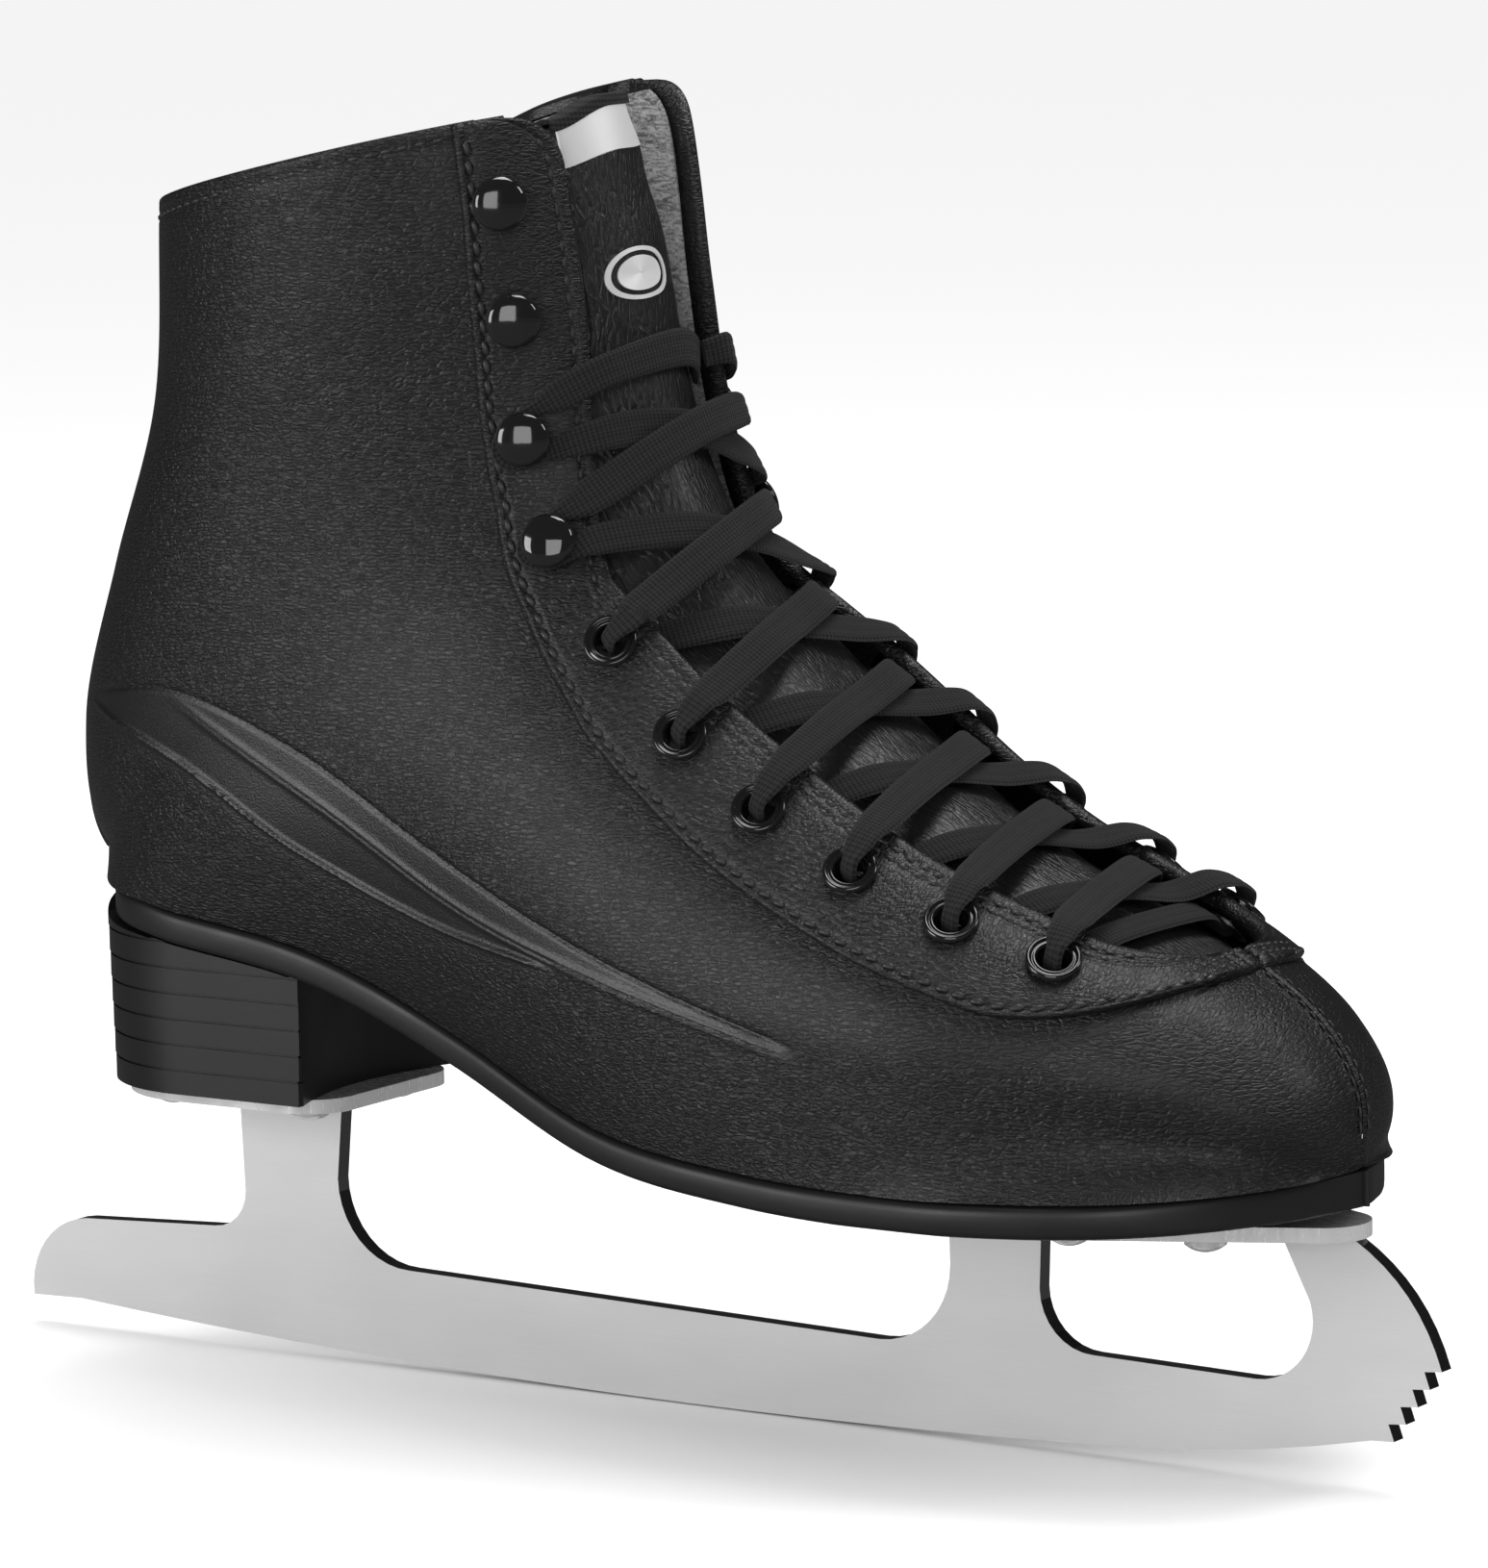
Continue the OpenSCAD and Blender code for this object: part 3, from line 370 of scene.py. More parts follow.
# ---- Materials ----
class Look:
    """A material built from nodes around one Principled shader."""

    def __init__(self, name, colour, rough, metal=0.0, **settings):
        self.material = bpy.data.materials.new(name)
        self.material.use_nodes = True
        self.tree = self.material.node_tree
        self.shader = self.tree.nodes["Principled BSDF"]
        self.set(self.shader, {"Base Color": (*colour, 1), "Roughness": rough, "Metallic": metal})
        self.set(self.shader, {k.replace("_", " "): v for k, v in settings.items()})
        self.coordinates = self.add("TexCoord")

    def set(self, node, inputs):
        for key, value in inputs.items():
            if isinstance(value, bpy.types.NodeSocket):
                self.tree.links.new(value, node.inputs[key])
            else:
                node.inputs[key].default_value = value

    def add(self, kind, inputs=None, **settings):
        node = self.tree.nodes.new("ShaderNode" + kind)
        for key, value in settings.items():
            setattr(node, key, value)
        self.set(node, inputs or {})
        return node

    def place(self, size):
        """Object coordinates in cells of the given size, in millimetres along X, Y and Z."""
        scale = [1 / (s * MM) for s in size]
        mapping = self.add("Mapping", {"Vector": self.coordinates.outputs["Object"], "Scale": scale})
        return mapping.outputs[0]

    def noise(self, vector, detail=3.0, rough=0.55, distortion=0.0):
        node = self.add("TexNoise", {"Vector": vector, "Scale": 1.0, "Detail": detail,
                                     "Roughness": rough, "Distortion": distortion})
        return node.outputs[0]

    def cells(self, vector):
        """Raised cells between thin creases, from 0 in a crease to 1."""
        node = self.add("TexVoronoi", {"Vector": vector, "Scale": 1.0}, feature="DISTANCE_TO_EDGE")
        return self.spread(node.outputs["Distance"], 0, 0.22, 0, 1)

    def spread(self, value, low, high, to_low, to_high):
        node = self.add("MapRange", {"Value": value, "From Min": low, "From Max": high,
                                     "To Min": to_low, "To Max": to_high})
        node.interpolation_type = "SMOOTHSTEP"
        return node.outputs[0]

    def math(self, operation, a, b):
        return self.add("Math", {0: a, 1: b}, operation=operation).outputs[0]

    def mix(self, factor, a, b):
        """a where factor is 0 and b where it is 1."""
        return self.math("ADD", self.math("MULTIPLY", self.math("SUBTRACT", b, a), factor), a)

    def bump(self, height, depth):
        """Bumps depth millimetres deep, added to any before."""
        inputs = {"Height": height, "Distance": depth * MM, "Strength": 1.0}
        links = self.shader.inputs["Normal"].links
        if links:
            inputs["Normal"] = links[0].from_socket
        self.set(self.shader, {"Normal": self.add("Bump", inputs).outputs[0]})

    def uneven(self, low, high, size):
        """Lets the roughness wander between low and high."""
        value = self.noise(self.place((size, size, size)), 2)
        self.set(self.shader, {"Roughness": self.spread(value, 0.3, 0.7, low, high)})

    def tint(self, value, dark, light):
        ramp_node = self.add("ValToRGB", {"Fac": value})
        ramp_node.color_ramp.elements[0].color = (*dark, 1)
        ramp_node.color_ramp.elements[1].color = (*light, 1)
        self.set(self.shader, {"Base Color": ramp_node.outputs[0]})


def grey(value):
    return (value, value, value)


def leather(name, colour, rough, cell, stretch, depth, upright=False):
    """Coated leather with fine creases, cell high and stretch times as long."""
    look = Look(name, colour, rough, Specular_IOR_Level=0.5, Coat_Weight=0.12, Coat_Roughness=0.3)
    long_cell = cell * stretch
    level = (long_cell, long_cell, cell)
    steep = (cell, long_cell, long_cell)
    if upright:
        level, steep = (long_cell, cell, long_cell), (long_cell, cell, long_cell)
    wander = look.noise(look.place((14, 14, 9)), 2)
    heights = []
    for size in (level, steep):
        bent = look.add("VectorMath", {0: look.place(size), 1: wander}, operation="ADD").outputs[0]
        creases = look.noise(bent, 4, 0.62, 0.6)
        heights.append(look.math("ADD", look.math("MULTIPLY", look.cells(bent), 0.45), creases))
    normal = look.add("SeparateXYZ", {0: look.coordinates.outputs["Normal"]}).outputs[2]
    up = look.math("ABSOLUTE", normal, 0)
    height = look.mix(look.spread(up, 0.5, 0.85, 0, 1), *heights)
    plain = look.add("Attribute", attribute_name="plain").outputs["Fac"]
    look.bump(height, depth)
    keep = look.math("SUBTRACT", 1.0, plain)
    look.set(look.shader.inputs["Normal"].links[0].from_node, {"Strength": keep})
    pores = look.noise(look.place((0.35, 0.35, 0.35)), 2)
    look.bump(pores, depth * 0.35)
    sheen = look.noise(look.place((22, 22, 22)), 3)
    look.set(look.shader, {"Roughness": look.spread(sheen, 0.25, 0.75, rough - 0.05, rough + 0.06)})
    return look.material


def steel(name, colour, rough, direction, depth=0.01, metal=1.0):
    """Metal brushed along one axis. Below 1, metal lets it scatter some light."""
    look = Look(name, colour, rough, metal)
    strokes = look.noise(look.place(direction), 3, 0.6)
    look.bump(strokes, depth)
    look.set(look.shader, {"Roughness": look.spread(strokes, 0.2, 0.8, rough - 0.06, rough + 0.08)})
    return look.material


def runner_steel():
    """Stamped steel: satin on the two flat sides and polished on the edges. The edges also carry painted
    shade: their colour is 0.45 times that of the sides.
    """
    look = Look("runner_steel", grey(0.6), 0.34, 0.5)
    strokes = look.noise(look.place((14, 14, 0.16)), 3, 0.6)
    clouds = look.noise(look.place((60, 60, 25)), 2)
    look.bump(strokes, 0.01)
    facing_out = look.add("SeparateXYZ", {0: look.coordinates.outputs["Normal"]}).outputs[1]
    flat = look.spread(look.math("ABSOLUTE", facing_out, 0), 0.6, 0.85, 0, 1)
    satin = look.spread(clouds, 0.2, 0.8, 0.47, 0.55)
    shade = look.math("ADD", satin, look.math("MULTIPLY", strokes, 0.06))
    # Painted shade: where the normal turns away from Y, on the edges, the colour drops to 0.45 times.
    shade = look.mix(flat, look.math("MULTIPLY", shade, 0.45), shade)
    colour = look.add("CombineColor", {0: shade, 1: shade, 2: look.math("MULTIPLY", shade, 1.01)})
    look.set(look.shader, {"Base Color": colour.outputs[0], "Metallic": look.mix(flat, 1.0, 0.45),
                           "Roughness": look.mix(flat, 0.16, 0.36)})
    return look.material


def coated(name, colour, rough, size=1.2, depth=0.02, **settings):
    """Paint, rubber or plastic with a faint texture."""
    look = Look(name, colour, rough, **settings)
    look.bump(look.noise(look.place((size, size, size)), 3), depth)
    look.uneven(rough - 0.04, rough + 0.06, 18)
    return look.material


def knit(name, dark, light, size, depth):
    """Napped cloth with wavy rows."""
    look = Look(name, light, 0.92, Sheen_Weight=0.25, Sheen_Roughness=0.6)
    rows = look.noise(look.place(size), 4, 0.6, 1.4)
    loops = look.noise(look.place((0.5, 0.5, 0.35)), 2, 0.6)
    both = look.math("ADD", look.math("MULTIPLY", rows, 0.8), look.math("MULTIPLY", loops, 0.3))
    look.tint(look.spread(both, 0.4, 0.7, 0, 1), dark, light)
    look.bump(both, depth)
    return look.material


def woven(name, dark, light, size, depth):
    """Tape or braid woven at right angles, laid out in the piece's own UV millimetres."""
    look = Look(name, light, 0.9, Sheen_Weight=0.03, Specular_IOR_Level=0.3)
    mapping = look.add("Mapping", {"Vector": look.coordinates.outputs["UV"],
                                   "Scale": (1 / size[0], 1 / size[1], 1)})
    parts = look.add("SeparateXYZ", {0: mapping.outputs[0]})
    across = look.math("SINE", look.math("MULTIPLY", parts.outputs[0], 2 * math.pi), 0)
    shift = look.math("MULTIPLY", look.math("ABSOLUTE", across, 0), 1.6)
    turn = look.math("ADD", look.math("MULTIPLY", parts.outputs[1], 2 * math.pi), shift)
    along = look.math("SINE", turn, 0)
    weave = look.math("ADD", look.math("MULTIPLY", along, 0.3), look.math("MULTIPLY", across, 0.2))
    fuzz = look.noise(look.place((0.25, 0.25, 0.25)), 2)
    height = look.math("ADD", look.math("ADD", weave, 0.3), look.math("MULTIPLY", fuzz, 0.5))
    look.tint(look.spread(height, 0.1, 0.95, 0, 1), dark, light)
    look.bump(height, depth)
    return look.material


def fibre(name, dark, light, size, rough=0.85, depth=0.05):
    """Board, cork, foam or felt, speckled between two colours."""
    look = Look(name, light, rough)
    specks = look.noise(look.place((size, size, size)), 4, 0.65)
    look.tint(look.spread(specks, 0.3, 0.7, 0, 1), dark, light)
    look.bump(specks, depth)
    return look.material


MATERIALS = {
    "runner_steel": runner_steel(),
    "plate_nickel": steel("plate_nickel", grey(0.74), 0.22, (6, 0.3, 6), 0.002, 0.6),
    "screw_nickel": steel("screw_nickel", grey(0.78), 0.18, (0.6, 0.6, 0.6), 0.004, 0.7),
    "sole_black": coated("sole_black", grey(0.007), 0.44),
    "heel_black": coated("heel_black", grey(0.006), 0.4, 0.8, 0.015),
    "shank_steel": steel("shank_steel", grey(0.45), 0.35, (10, 0.3, 10)),
    "cork_filler": fibre("cork_filler", (0.16, 0.09, 0.045), (0.42, 0.28, 0.16), 1.6),
    "insole_fibre": fibre("insole_fibre", (0.22, 0.15, 0.09), (0.38, 0.28, 0.18), 0.7),
    "footbed_foam": knit("footbed_foam", grey(0.05), grey(0.12), (1.2, 1.2, 1.2), 0.12),
    "upper_leather": leather("upper_leather", grey(0.0055), 0.36, 0.66, 3.0, 0.28),
    "facing_leather": leather("facing_leather", grey(0.0055), 0.36, 0.66, 3.0, 0.28),
    "trim_leather": leather("trim_leather", grey(0.008), 0.4, 0.65, 2.5, 0.1),
    "tongue_leather": leather("tongue_leather", grey(0.009), 0.34, 0.9, 4.5, 0.22, upright=True),
    "stiffener": fibre("stiffener", (0.3, 0.26, 0.2), (0.5, 0.45, 0.36), 0.9),
    "lining_knit": knit("lining_knit", grey(0.03), grey(0.3), (3.2, 3.2, 0.95), 0.5),
    "padding_foam": fibre("padding_foam", grey(0.35), grey(0.55), 0.6, 0.9, 0.08),
    "backing_fibre": fibre("backing_fibre", grey(0.02), grey(0.05), 0.6),
    "eyelet_black": coated("eyelet_black", grey(0.006), 0.12, 2.0, 0.004, Coat_Weight=0.6,
                           Coat_Roughness=0.05),
    "hook_black": coated("hook_black", grey(0.006), 0.1, 2.0, 0.004, Coat_Weight=0.8,
                         Coat_Roughness=0.04),
    "washer_steel": steel("washer_steel", grey(0.5), 0.28, (0.5, 0.5, 0.5)),
    "satin_panel": steel("satin_panel", grey(0.7), 0.36, (0.25, 0.25, 6), 0.02, 0.5),
    "binding_tape": woven("binding_tape", grey(0.003), grey(0.014), (0.7, 0.9), 0.12),
    "lace_braid": woven("lace_braid", grey(0.003), grey(0.012), (0.62, 0.85), 0.14),
}
THREAD = coated("black_thread", grey(0.016), 0.4, 0.3, 0.05)
PALE_THREAD = coated("pale_thread", grey(0.16), 0.5, 0.3, 0.05)

# ---- Upper ----
# The moulded wing on each quarter: its three lines in side view, as X and Z in millimetres
WING_TOP = [Vector(p) for p in ((-113, 119), (-84.5, 122), (-56.5, 113.5), (-31, 100.5), (-4.5, 89),
                                (23, 79.5), (51, 71.8))]
WING_MIDDLE = [Vector(p) for p in ((-87.5, 122.3), (-54.5, 106), (-21.5, 89.5), (14, 79), (50, 70.2))]
WING_LOW = [Vector(p) for p in ((-111, 118.3), (-82.5, 109.5), (-56, 96.2), (-28.5, 86.5), (1, 81))]
# The collar's stitches, in millimetres below the top edge
STITCH_FROM_TOP = 2.3


class Line:
    """A line in side view, for measuring how far points are from it."""

    def __init__(self, points, count=400):
        self.count = count
        self.tree = kdtree.KDTree(count + 1)
        for i in range(count + 1):
            p = curve(points, i / count)
            self.tree.insert(Vector((p.x, 0, p.y)), i)
        self.tree.balance()

    def near(self, point):
        """(distance, how far along the line from 0 to 1). Below the line the distance is negative."""
        spot, index, distance = self.tree.find(Vector((point.x, 0, point.z)))
        return math.copysign(distance, point.z - spot.z), index / self.count


def wing_relief():
    """Returns a function that gives the wing's (height, plainness) at a point."""
    top, middle, low = (Line(points) for points in (WING_TOP, WING_MIDDLE, WING_LOW))

    def relief(u, v, point):
        if not 0.3 < u < 0.84 or not 0.38 < abs(v) < 0.88:
            return 0, 0
        d_top, t_top = top.near(point)
        d_mid, t_mid = middle.near(point)
        d_low, t_low = low.near(point)
        ends = [smooth(t / 0.1) * smooth((1 - t) / 0.06) for t in (t_top, t_mid, t_low)]
        floor = d_low if point.x < WING_LOW[-1].x else d_mid
        inside = smooth(0.5 - d_top / 1.4) * smooth(0.5 + floor / 1.4)
        inside *= smooth(t_top / 0.05) * smooth((1 - t_top) / 0.03)
        height = -0.42 * ends[0] * bell(d_top, 0.5) - 0.15 * inside
        height += 0.5 * ends[1] * (bell(d_mid, 0.8) - 0.75 * bell(d_mid, 0.4))
        height += 0.6 * ends[2] * bell(d_low, 0.48)
        return height, 0.95 * max(inside, bell(d_low, 2.5) * ends[2])

    return relief


def upper_rows():
    """u of the rows of points: closest together over the wing."""
    return (steps(0.002, 0.06, 34)[:-1] + steps(0.06, 0.345, 90)[:-1] + steps(0.345, 0.82, 440)[:-1]
            + steps(0.82, 1, 68))


def upper_columns(edge, unit):
    """v of the points across one row: close together at the front edge and over the wing."""
    near = (0, 0.35, 0.7, 1.1, 1.6, 2.2, 3.0)
    wing_from, wing_to = 0.42, 0.8
    return ([edge + d / unit for d in near[:-1]] + steps(edge + near[-1] / unit, wing_from, 50)[:-1]
            + steps(wing_from, wing_to, 175)[:-1] + steps(wing_to, 0.9995, 32))


def upper(name, side):
    """Half of the upper: one moulded piece of leather from the toe to the rolled top edge."""
    relief = wing_relief()
    rings, plain = [], []
    rows = [(u, 0) for u in upper_rows()] + [(1, turn) for turn in (25, 50, 75, 90)]
    half = LEATHER_T / 2
    for u, turn in rows:
        edge = quarter_edge(u)
        unit = max(per_v(u, edge + 0.01), 5)
        vs = upper_columns(edge, unit)
        fold = half * math.cos(math.radians(turn))
        climb = half * math.sin(math.radians(turn))

        def place(v, off):
            return skin(u + climb / per_u(u, side * v) if turn else u, side * v, off)

        outer = []
        for v in vs:
            here = skin(u, side * v)
            height, flat = relief(u, v, here)
            from_edge = (v - edge) * unit
            if u < 0.2:
                height += 0.4 * bell(from_edge, 2.0) - 0.4 * bell(from_edge, 0.35)
            height += 0.12 * noise.noise(here * 0.035)
            from_top = (1 - u) * per_u(u, side * v) if u > 0.95 else 99
            height -= 0.22 * bell(from_top - STITCH_FROM_TOP, 0.6)
            outer.append(place(v, fold - half + (0 if turn else height)))
            plain.append(flat)
        thick = LEATHER_T * (0.2 + 0.8 * smooth((u - 0.004) / 0.06))
        inner = [place(v, -half - fold if turn else -thick) for v in vs[::-6]]
        plain += [0] * len(inner)
        rings.append(outer + inner)
    obj = loft(name, rings)
    layer = obj.data.attributes.new("plain", "FLOAT", "POINT")
    layer.data.foreach_set("value", plain)
    return obj


# ---- Strips laid on the boot ----
def patch(name, us, edges, outer, inner, side=1, across=24, lip=0.5, angle=50, place=skin,
          measure_v=None):
    """A closed sheet between the two v edges of each section, with rounded edges lip wide.
    outer(u, v) and inner(u, v) say how far its faces stand off the boot. Widths are measured at
    measure_v, or in the middle if it is None."""
    rings = []
    for u in us:
        a, b = edges(u)
        unit = max(per_v(u, measure_v or side * (a + b) / 2), 5)
        width = (b - a) * unit
        edge = min(lip, width * 0.3)
        vs = steps(a, b, across)
        top, low = [], []
        for v in vs:
            inset = min((v - a), (b - v)) * unit
            bend = 1 - math.sqrt(max(1 - (1 - clamp01(inset / edge)) ** 2, 0)) if edge > 0 else 0
            o, i = outer(u, v), inner(u, v)
            middle = (o + i) / 2
            top.append(place(u, side * v, lerp(o, middle, bend)))
            low.append(place(u, side * v, lerp(i, middle, bend)))
        rings.append(top + low[::-1])
    return loft(name, rings, angle=angle)


def bunched(a, b, n, ends=0.05):
    """n steps from a to b with a few more close to both ends."""
    width = b - a
    close = [a, a + width * ends * 0.15, a + width * ends * 0.45]
    return close + steps(a + width * ends, b - width * ends, n) + [
        b - width * ends * 0.45, b - width * ends * 0.15, b]


# u of the facing's lowest point
FACING_LOW = 0.1865
CORNER_R = 9
FOLD_R = (FACING_TOP + LEATHER_T) / 2
FACING_MIDDLE = (FACING_TOP - LEATHER_T) / 2
# The two rows of stitches along the front edge, in millimetres from it
FRONT_STITCH = 3.2
SECOND_STITCH = 5.2


def front_edge(u, side):
    """The facing's front edge, rounded off at the top corner, wider on the medial side."""
    radius = CORNER_R * (1.5 if side > 0 else 1)
    start = 1 - radius / per_u(0.97, side * 0.15)
    part = clamp01((u - start) / (1 - start))
    return throat_edge(min(u, 1)) + radius * (1 - math.sqrt(1 - part * part)) / per_v(u, side * 0.15)


def facing_ring(u, turn, side):
    """One section of the facing, from its front fold out to its edge, under the quarter and back.
    turn is how far the section lies round the fold at the top, in degrees."""
    rise_u = FOLD_R * math.sin(math.radians(turn)) / per_u(u, side * 0.2)
    a, b = front_edge(min(u + rise_u, 1), side), facing_edge(u)
    unit = max(per_v(u, side * (a + b) / 2), 5)
    b = max(b, a + 1.0 / unit)
    width = (b - a) * unit
    scale = clamp01(width / 9)
    rise = math.sqrt(1 - (1 - clamp01((u - FACING_LOW) / 0.005)) ** 2)
    inner_reach = FOLD_R * scale
    outer_reach = width - 0.9 * scale
    # Each spot is a distance from the front edge and a height off the boot
    spots = []
    for i in range(9):
        around = math.pi / 2 * i / 8
        high = FACING_MIDDLE + FOLD_R * math.sin(around)
        spots.append((inner_reach * (1 - math.cos(around)), lerp(0.2, high, rise)))
    for s in steps(inner_reach, outer_reach, 58)[1:]:
        groove = 0.3 * bell(s - FRONT_STITCH * scale, 0.5) + 0.42 * bell(width - s - 2.0 * scale, 0.6)
        if u < 0.64:
            groove += 0.25 * bell(s - SECOND_STITCH * scale, 0.5)
        spots.append((s, lerp(0.2, FACING_TOP - groove * scale * rise, rise)))
    for i in range(1, 6):
        around = math.pi / 2 * i / 5
        spots.append((outer_reach + 0.9 * scale * math.sin(around),
                      0.1 + (FACING_TOP - 0.1) * math.cos(around) * rise))
    lap = (b - quarter_edge(u)) * unit
    spots += [(width - lap * 0.5, 0.1), (max(width - lap, inner_reach), 0.1),
              (max(width - lap - 0.5, inner_reach), -LEATHER_T)]
    for i in range(8):
        around = math.pi / 2 * i / 8
        spots.append((inner_reach * (1 - math.sin(around)), FACING_MIDDLE - FOLD_R * math.cos(around)))
    squeeze = math.cos(math.radians(turn))
    return [skin(u + rise_u, side * (a + distance / unit), lerp(FACING_MIDDLE, off, squeeze))
            for distance, off in spots]


def facing(name, side):
    """The reinforced strip that carries the eyelets and hooks, folded over at the throat."""
    top = 1 - (FOLD_R - 0.6) / per_u(1, side * 0.2)
    rows = (steps(FACING_LOW, 0.192, 8)[:-1] + steps(0.192, 0.215, 24)[:-1]
            + steps(0.215, 0.27, 36)[:-1] + steps(0.27, 0.95, 260)[:-1] + steps(0.95, top, 40))
    rings = [facing_ring(u, 0, side) for u in rows]
    rings += [facing_ring(top, turn, side) for turn in (15, 30, 45, 60, 75, 90)]
    return open_holes(loft(name, rings, angle=60), side)


def open_holes(obj, side):
    """Takes away the faces inside every eyelet, so that the holes are open."""
    work = bmesh.new()
    work.from_mesh(obj.data)
    places = [on_skin(u, side * v).inverted() for u, v in EYES]
    inside = []
    for face in work.faces:
        centre = face.calc_center_median() / MM
        for place in places:
            local = place @ centre
            if abs(local.z) < 5 and math.hypot(local.x, local.y) < 3.1:
                inside.append(face)
                break
    bmesh.ops.delete(work, geom=inside, context="FACES")
    work.to_mesh(obj.data)
    work.free()
    return obj


def wrap(v):
    """v past 1 carries on along the lateral side."""
    return v if v <= 1 else v - 2


def stay_half(u):
    """Half width of the back stay, in v."""
    return 0.05 + 0.03 * (1 - smooth((u - HEEL_U) / 0.15))


def back_stay():
    """The strip over the back seam, grooved under its stitches and along the seam."""
    beside = 0.97

    def edges(u):
        return 1 - stay_half(u), 1 + stay_half(u)

    def outer(u, v):
        unit = per_v(u, beside)
        inset = (stay_half(u) - abs(v - 1)) * unit
        return 1.2 - 0.3 * bell(inset - 1.8, 0.5) - 0.25 * bell((v - 1) * unit, 0.4)

    return patch("back_stay_leather", bunched(HEEL_U + 0.004, 0.985, 120, 0.02), edges, outer,
                 lambda u, v: -0.1, 1, 48, 0.6, place=lambda u, v, off: skin(u, wrap(v), off),
                 measure_v=beside)


def collar():
    """The rolled top edge, from one facing round the back to the other."""
    rings = []
    for v in steps(facing_edge(1) - 0.004, 2 - facing_edge(1) + 0.004, 260):
        w = wrap(v)
        inner = lining_depth(1, w) + LINING_T + 0.3
        unit = per_u(0.995, w)
        ring = []
        for i in range(17):
            angle = math.pi * i / 16
            off = -inner / 2 + (inner / 2 - 0.15) * math.cos(angle)
            ring.append(skin(1 + 0.9 * math.sin(angle) / unit, w, off))
        ring += [skin(1 - 1.6 / unit, w, -inner + 0.3), skin(1 - 1.6 / unit, w, -LEATHER_T - 0.1),
                 skin(1 - 0.2 / unit, w, -LEATHER_T - 0.1), skin(1 - 0.2 / unit, w, -0.3)]
        rings.append(ring)
    return loft("collar_roll", rings, angle=60)


def quarter_lining(name, side):
    """The knit inside of one side, a little wavy. Behind the hooks it runs out to the facing's edge."""
    def front(u):
        return max(lerp(facing_edge(u), front_edge(u, side) + 0.008, by_hooks(u)), 0.01)

    def depth(u, v):
        from_edge = (v - front(u)) * 120
        near = (1 - smooth((from_edge - 2) / 4)) * by_hooks(u)
        return lerp(lining_depth(u, side * v), LEATHER_T + 0.6, near)

    def face(u, v):
        return -depth(u, v) - LINING_T - 0.35 * noise.noise(skin(u, side * v) * 0.12)

    return patch(name, steps(0.25, 0.994, 190), lambda u: (front(u), 0.9985),
                 lambda u, v: -depth(u, v), face, side, 120, 0.4)


def vamp_lining():
    """The knit over the toes, from one side of the sole to the other."""
    depth = LEATHER_T + 2.5
    rings = []
    vs = steps(-0.93, 0.93, 60)
    for u in steps(0.082, 0.205, 40):
        rings.append([skin(u, v, -depth) for v in vs] + [skin(u, v, -depth - LINING_T) for v in vs[::-1]])
    return loft("vamp_lining_knit", rings, angle=60)


# ---- Tongue ----
TONGUE_TOP = 1.003


def tongue_edges(u):
    """v of the tongue's lateral and medial edges. Near the top it stands over to the lateral side."""
    low = 0.24 * (0.55 + 0.45 * smooth((u - 0.19) / 0.12)) - 0.05 * smooth((u - 0.6) / 0.2)
    blend = smooth((u - 0.775) / 0.055)
    medial = lerp(0.115, 0.04, smooth((u - 0.84) / 0.115)) - 0.026 * smooth((u - 0.955) / 0.045)
    return -lerp(low, 0.12, blend), lerp(low, medial, blend)


def tongue_skin(u, v, off):
    """A point on the tongue, whose top lateral corner droops."""
    droop = 0.013 * smooth((-v - 0.02) / 0.1) * smooth((u - 0.93) / 0.07)
    return skin(u - droop, v, off)


def tongue_depth(u, v):
    """Depth of the tongue's face below the boot's surface."""
    start = smooth((u - 0.25) / 0.05)
    return lerp(5.5, 3.7, start) + 2 * smooth(abs(v) / 0.15) * start


def tongue_layer(name, u0, u1, d0, d1, inset=0.0, lip=0.5, ruffle=0.0):
    """One layer of the tongue, between two depths below its face."""
    def edges(u):
        a, b = tongue_edges(u)
        return a + inset, b - inset

    def outer(u, v):
        wave = ruffle * noise.noise(skin(u, v) * 0.09) if ruffle else 0
        return -tongue_depth(u, v) - d0 + wave

    return patch(name, bunched(u0, u1, 220, 0.01), edges, outer,
                 lambda u, v: -tongue_depth(u, v) - d1, 1, 64, lip, 60, tongue_skin)


def tongue_panel():
    """The band of satin under the tape."""
    def edges(u):
        a, b = tongue_edges(u)
        return a + 0.003, b - 0.003

    return patch("tongue_panel_satin", bunched(0.967, 1.0, 30), edges,
                 lambda u, v: -tongue_depth(u, v) + 0.42, lambda u, v: -tongue_depth(u, v) + 0.02,
                 1, 40, 0.3, place=tongue_skin)


def tongue_tape():
    """Woven tape folded over the top of the tongue."""
    rings = []
    unit = per_u(1, 0)
    a, b = tongue_edges(TONGUE_TOP)
    low, high = TONGUE_TOP - 0.003, TONGUE_TOP + 0.004
    inside = ((low, -6.35), (low, -5.9), (high, -5.9), (high, 0.1), (low, 0.1), (low, 0.55))
    for v in steps(a - 0.004, b + 0.004, 60):
        d = tongue_depth(1, v)
        ring = []
        for i in range(13):
            angle = math.pi * i / 12
            off = -d - 2.9 + 3.45 * math.cos(angle)
            ring.append(tongue_skin(high + 0.9 * math.sin(angle) / unit, v, off))
        ring += [tongue_skin(u, v, -d + off) for u, off in inside]
        rings.append(ring)
    obj = loft("tongue_tape", rings, angle=50)
    set_uvs(obj, [(p.y, p.z) for ring in rings for p in ring])
    return obj


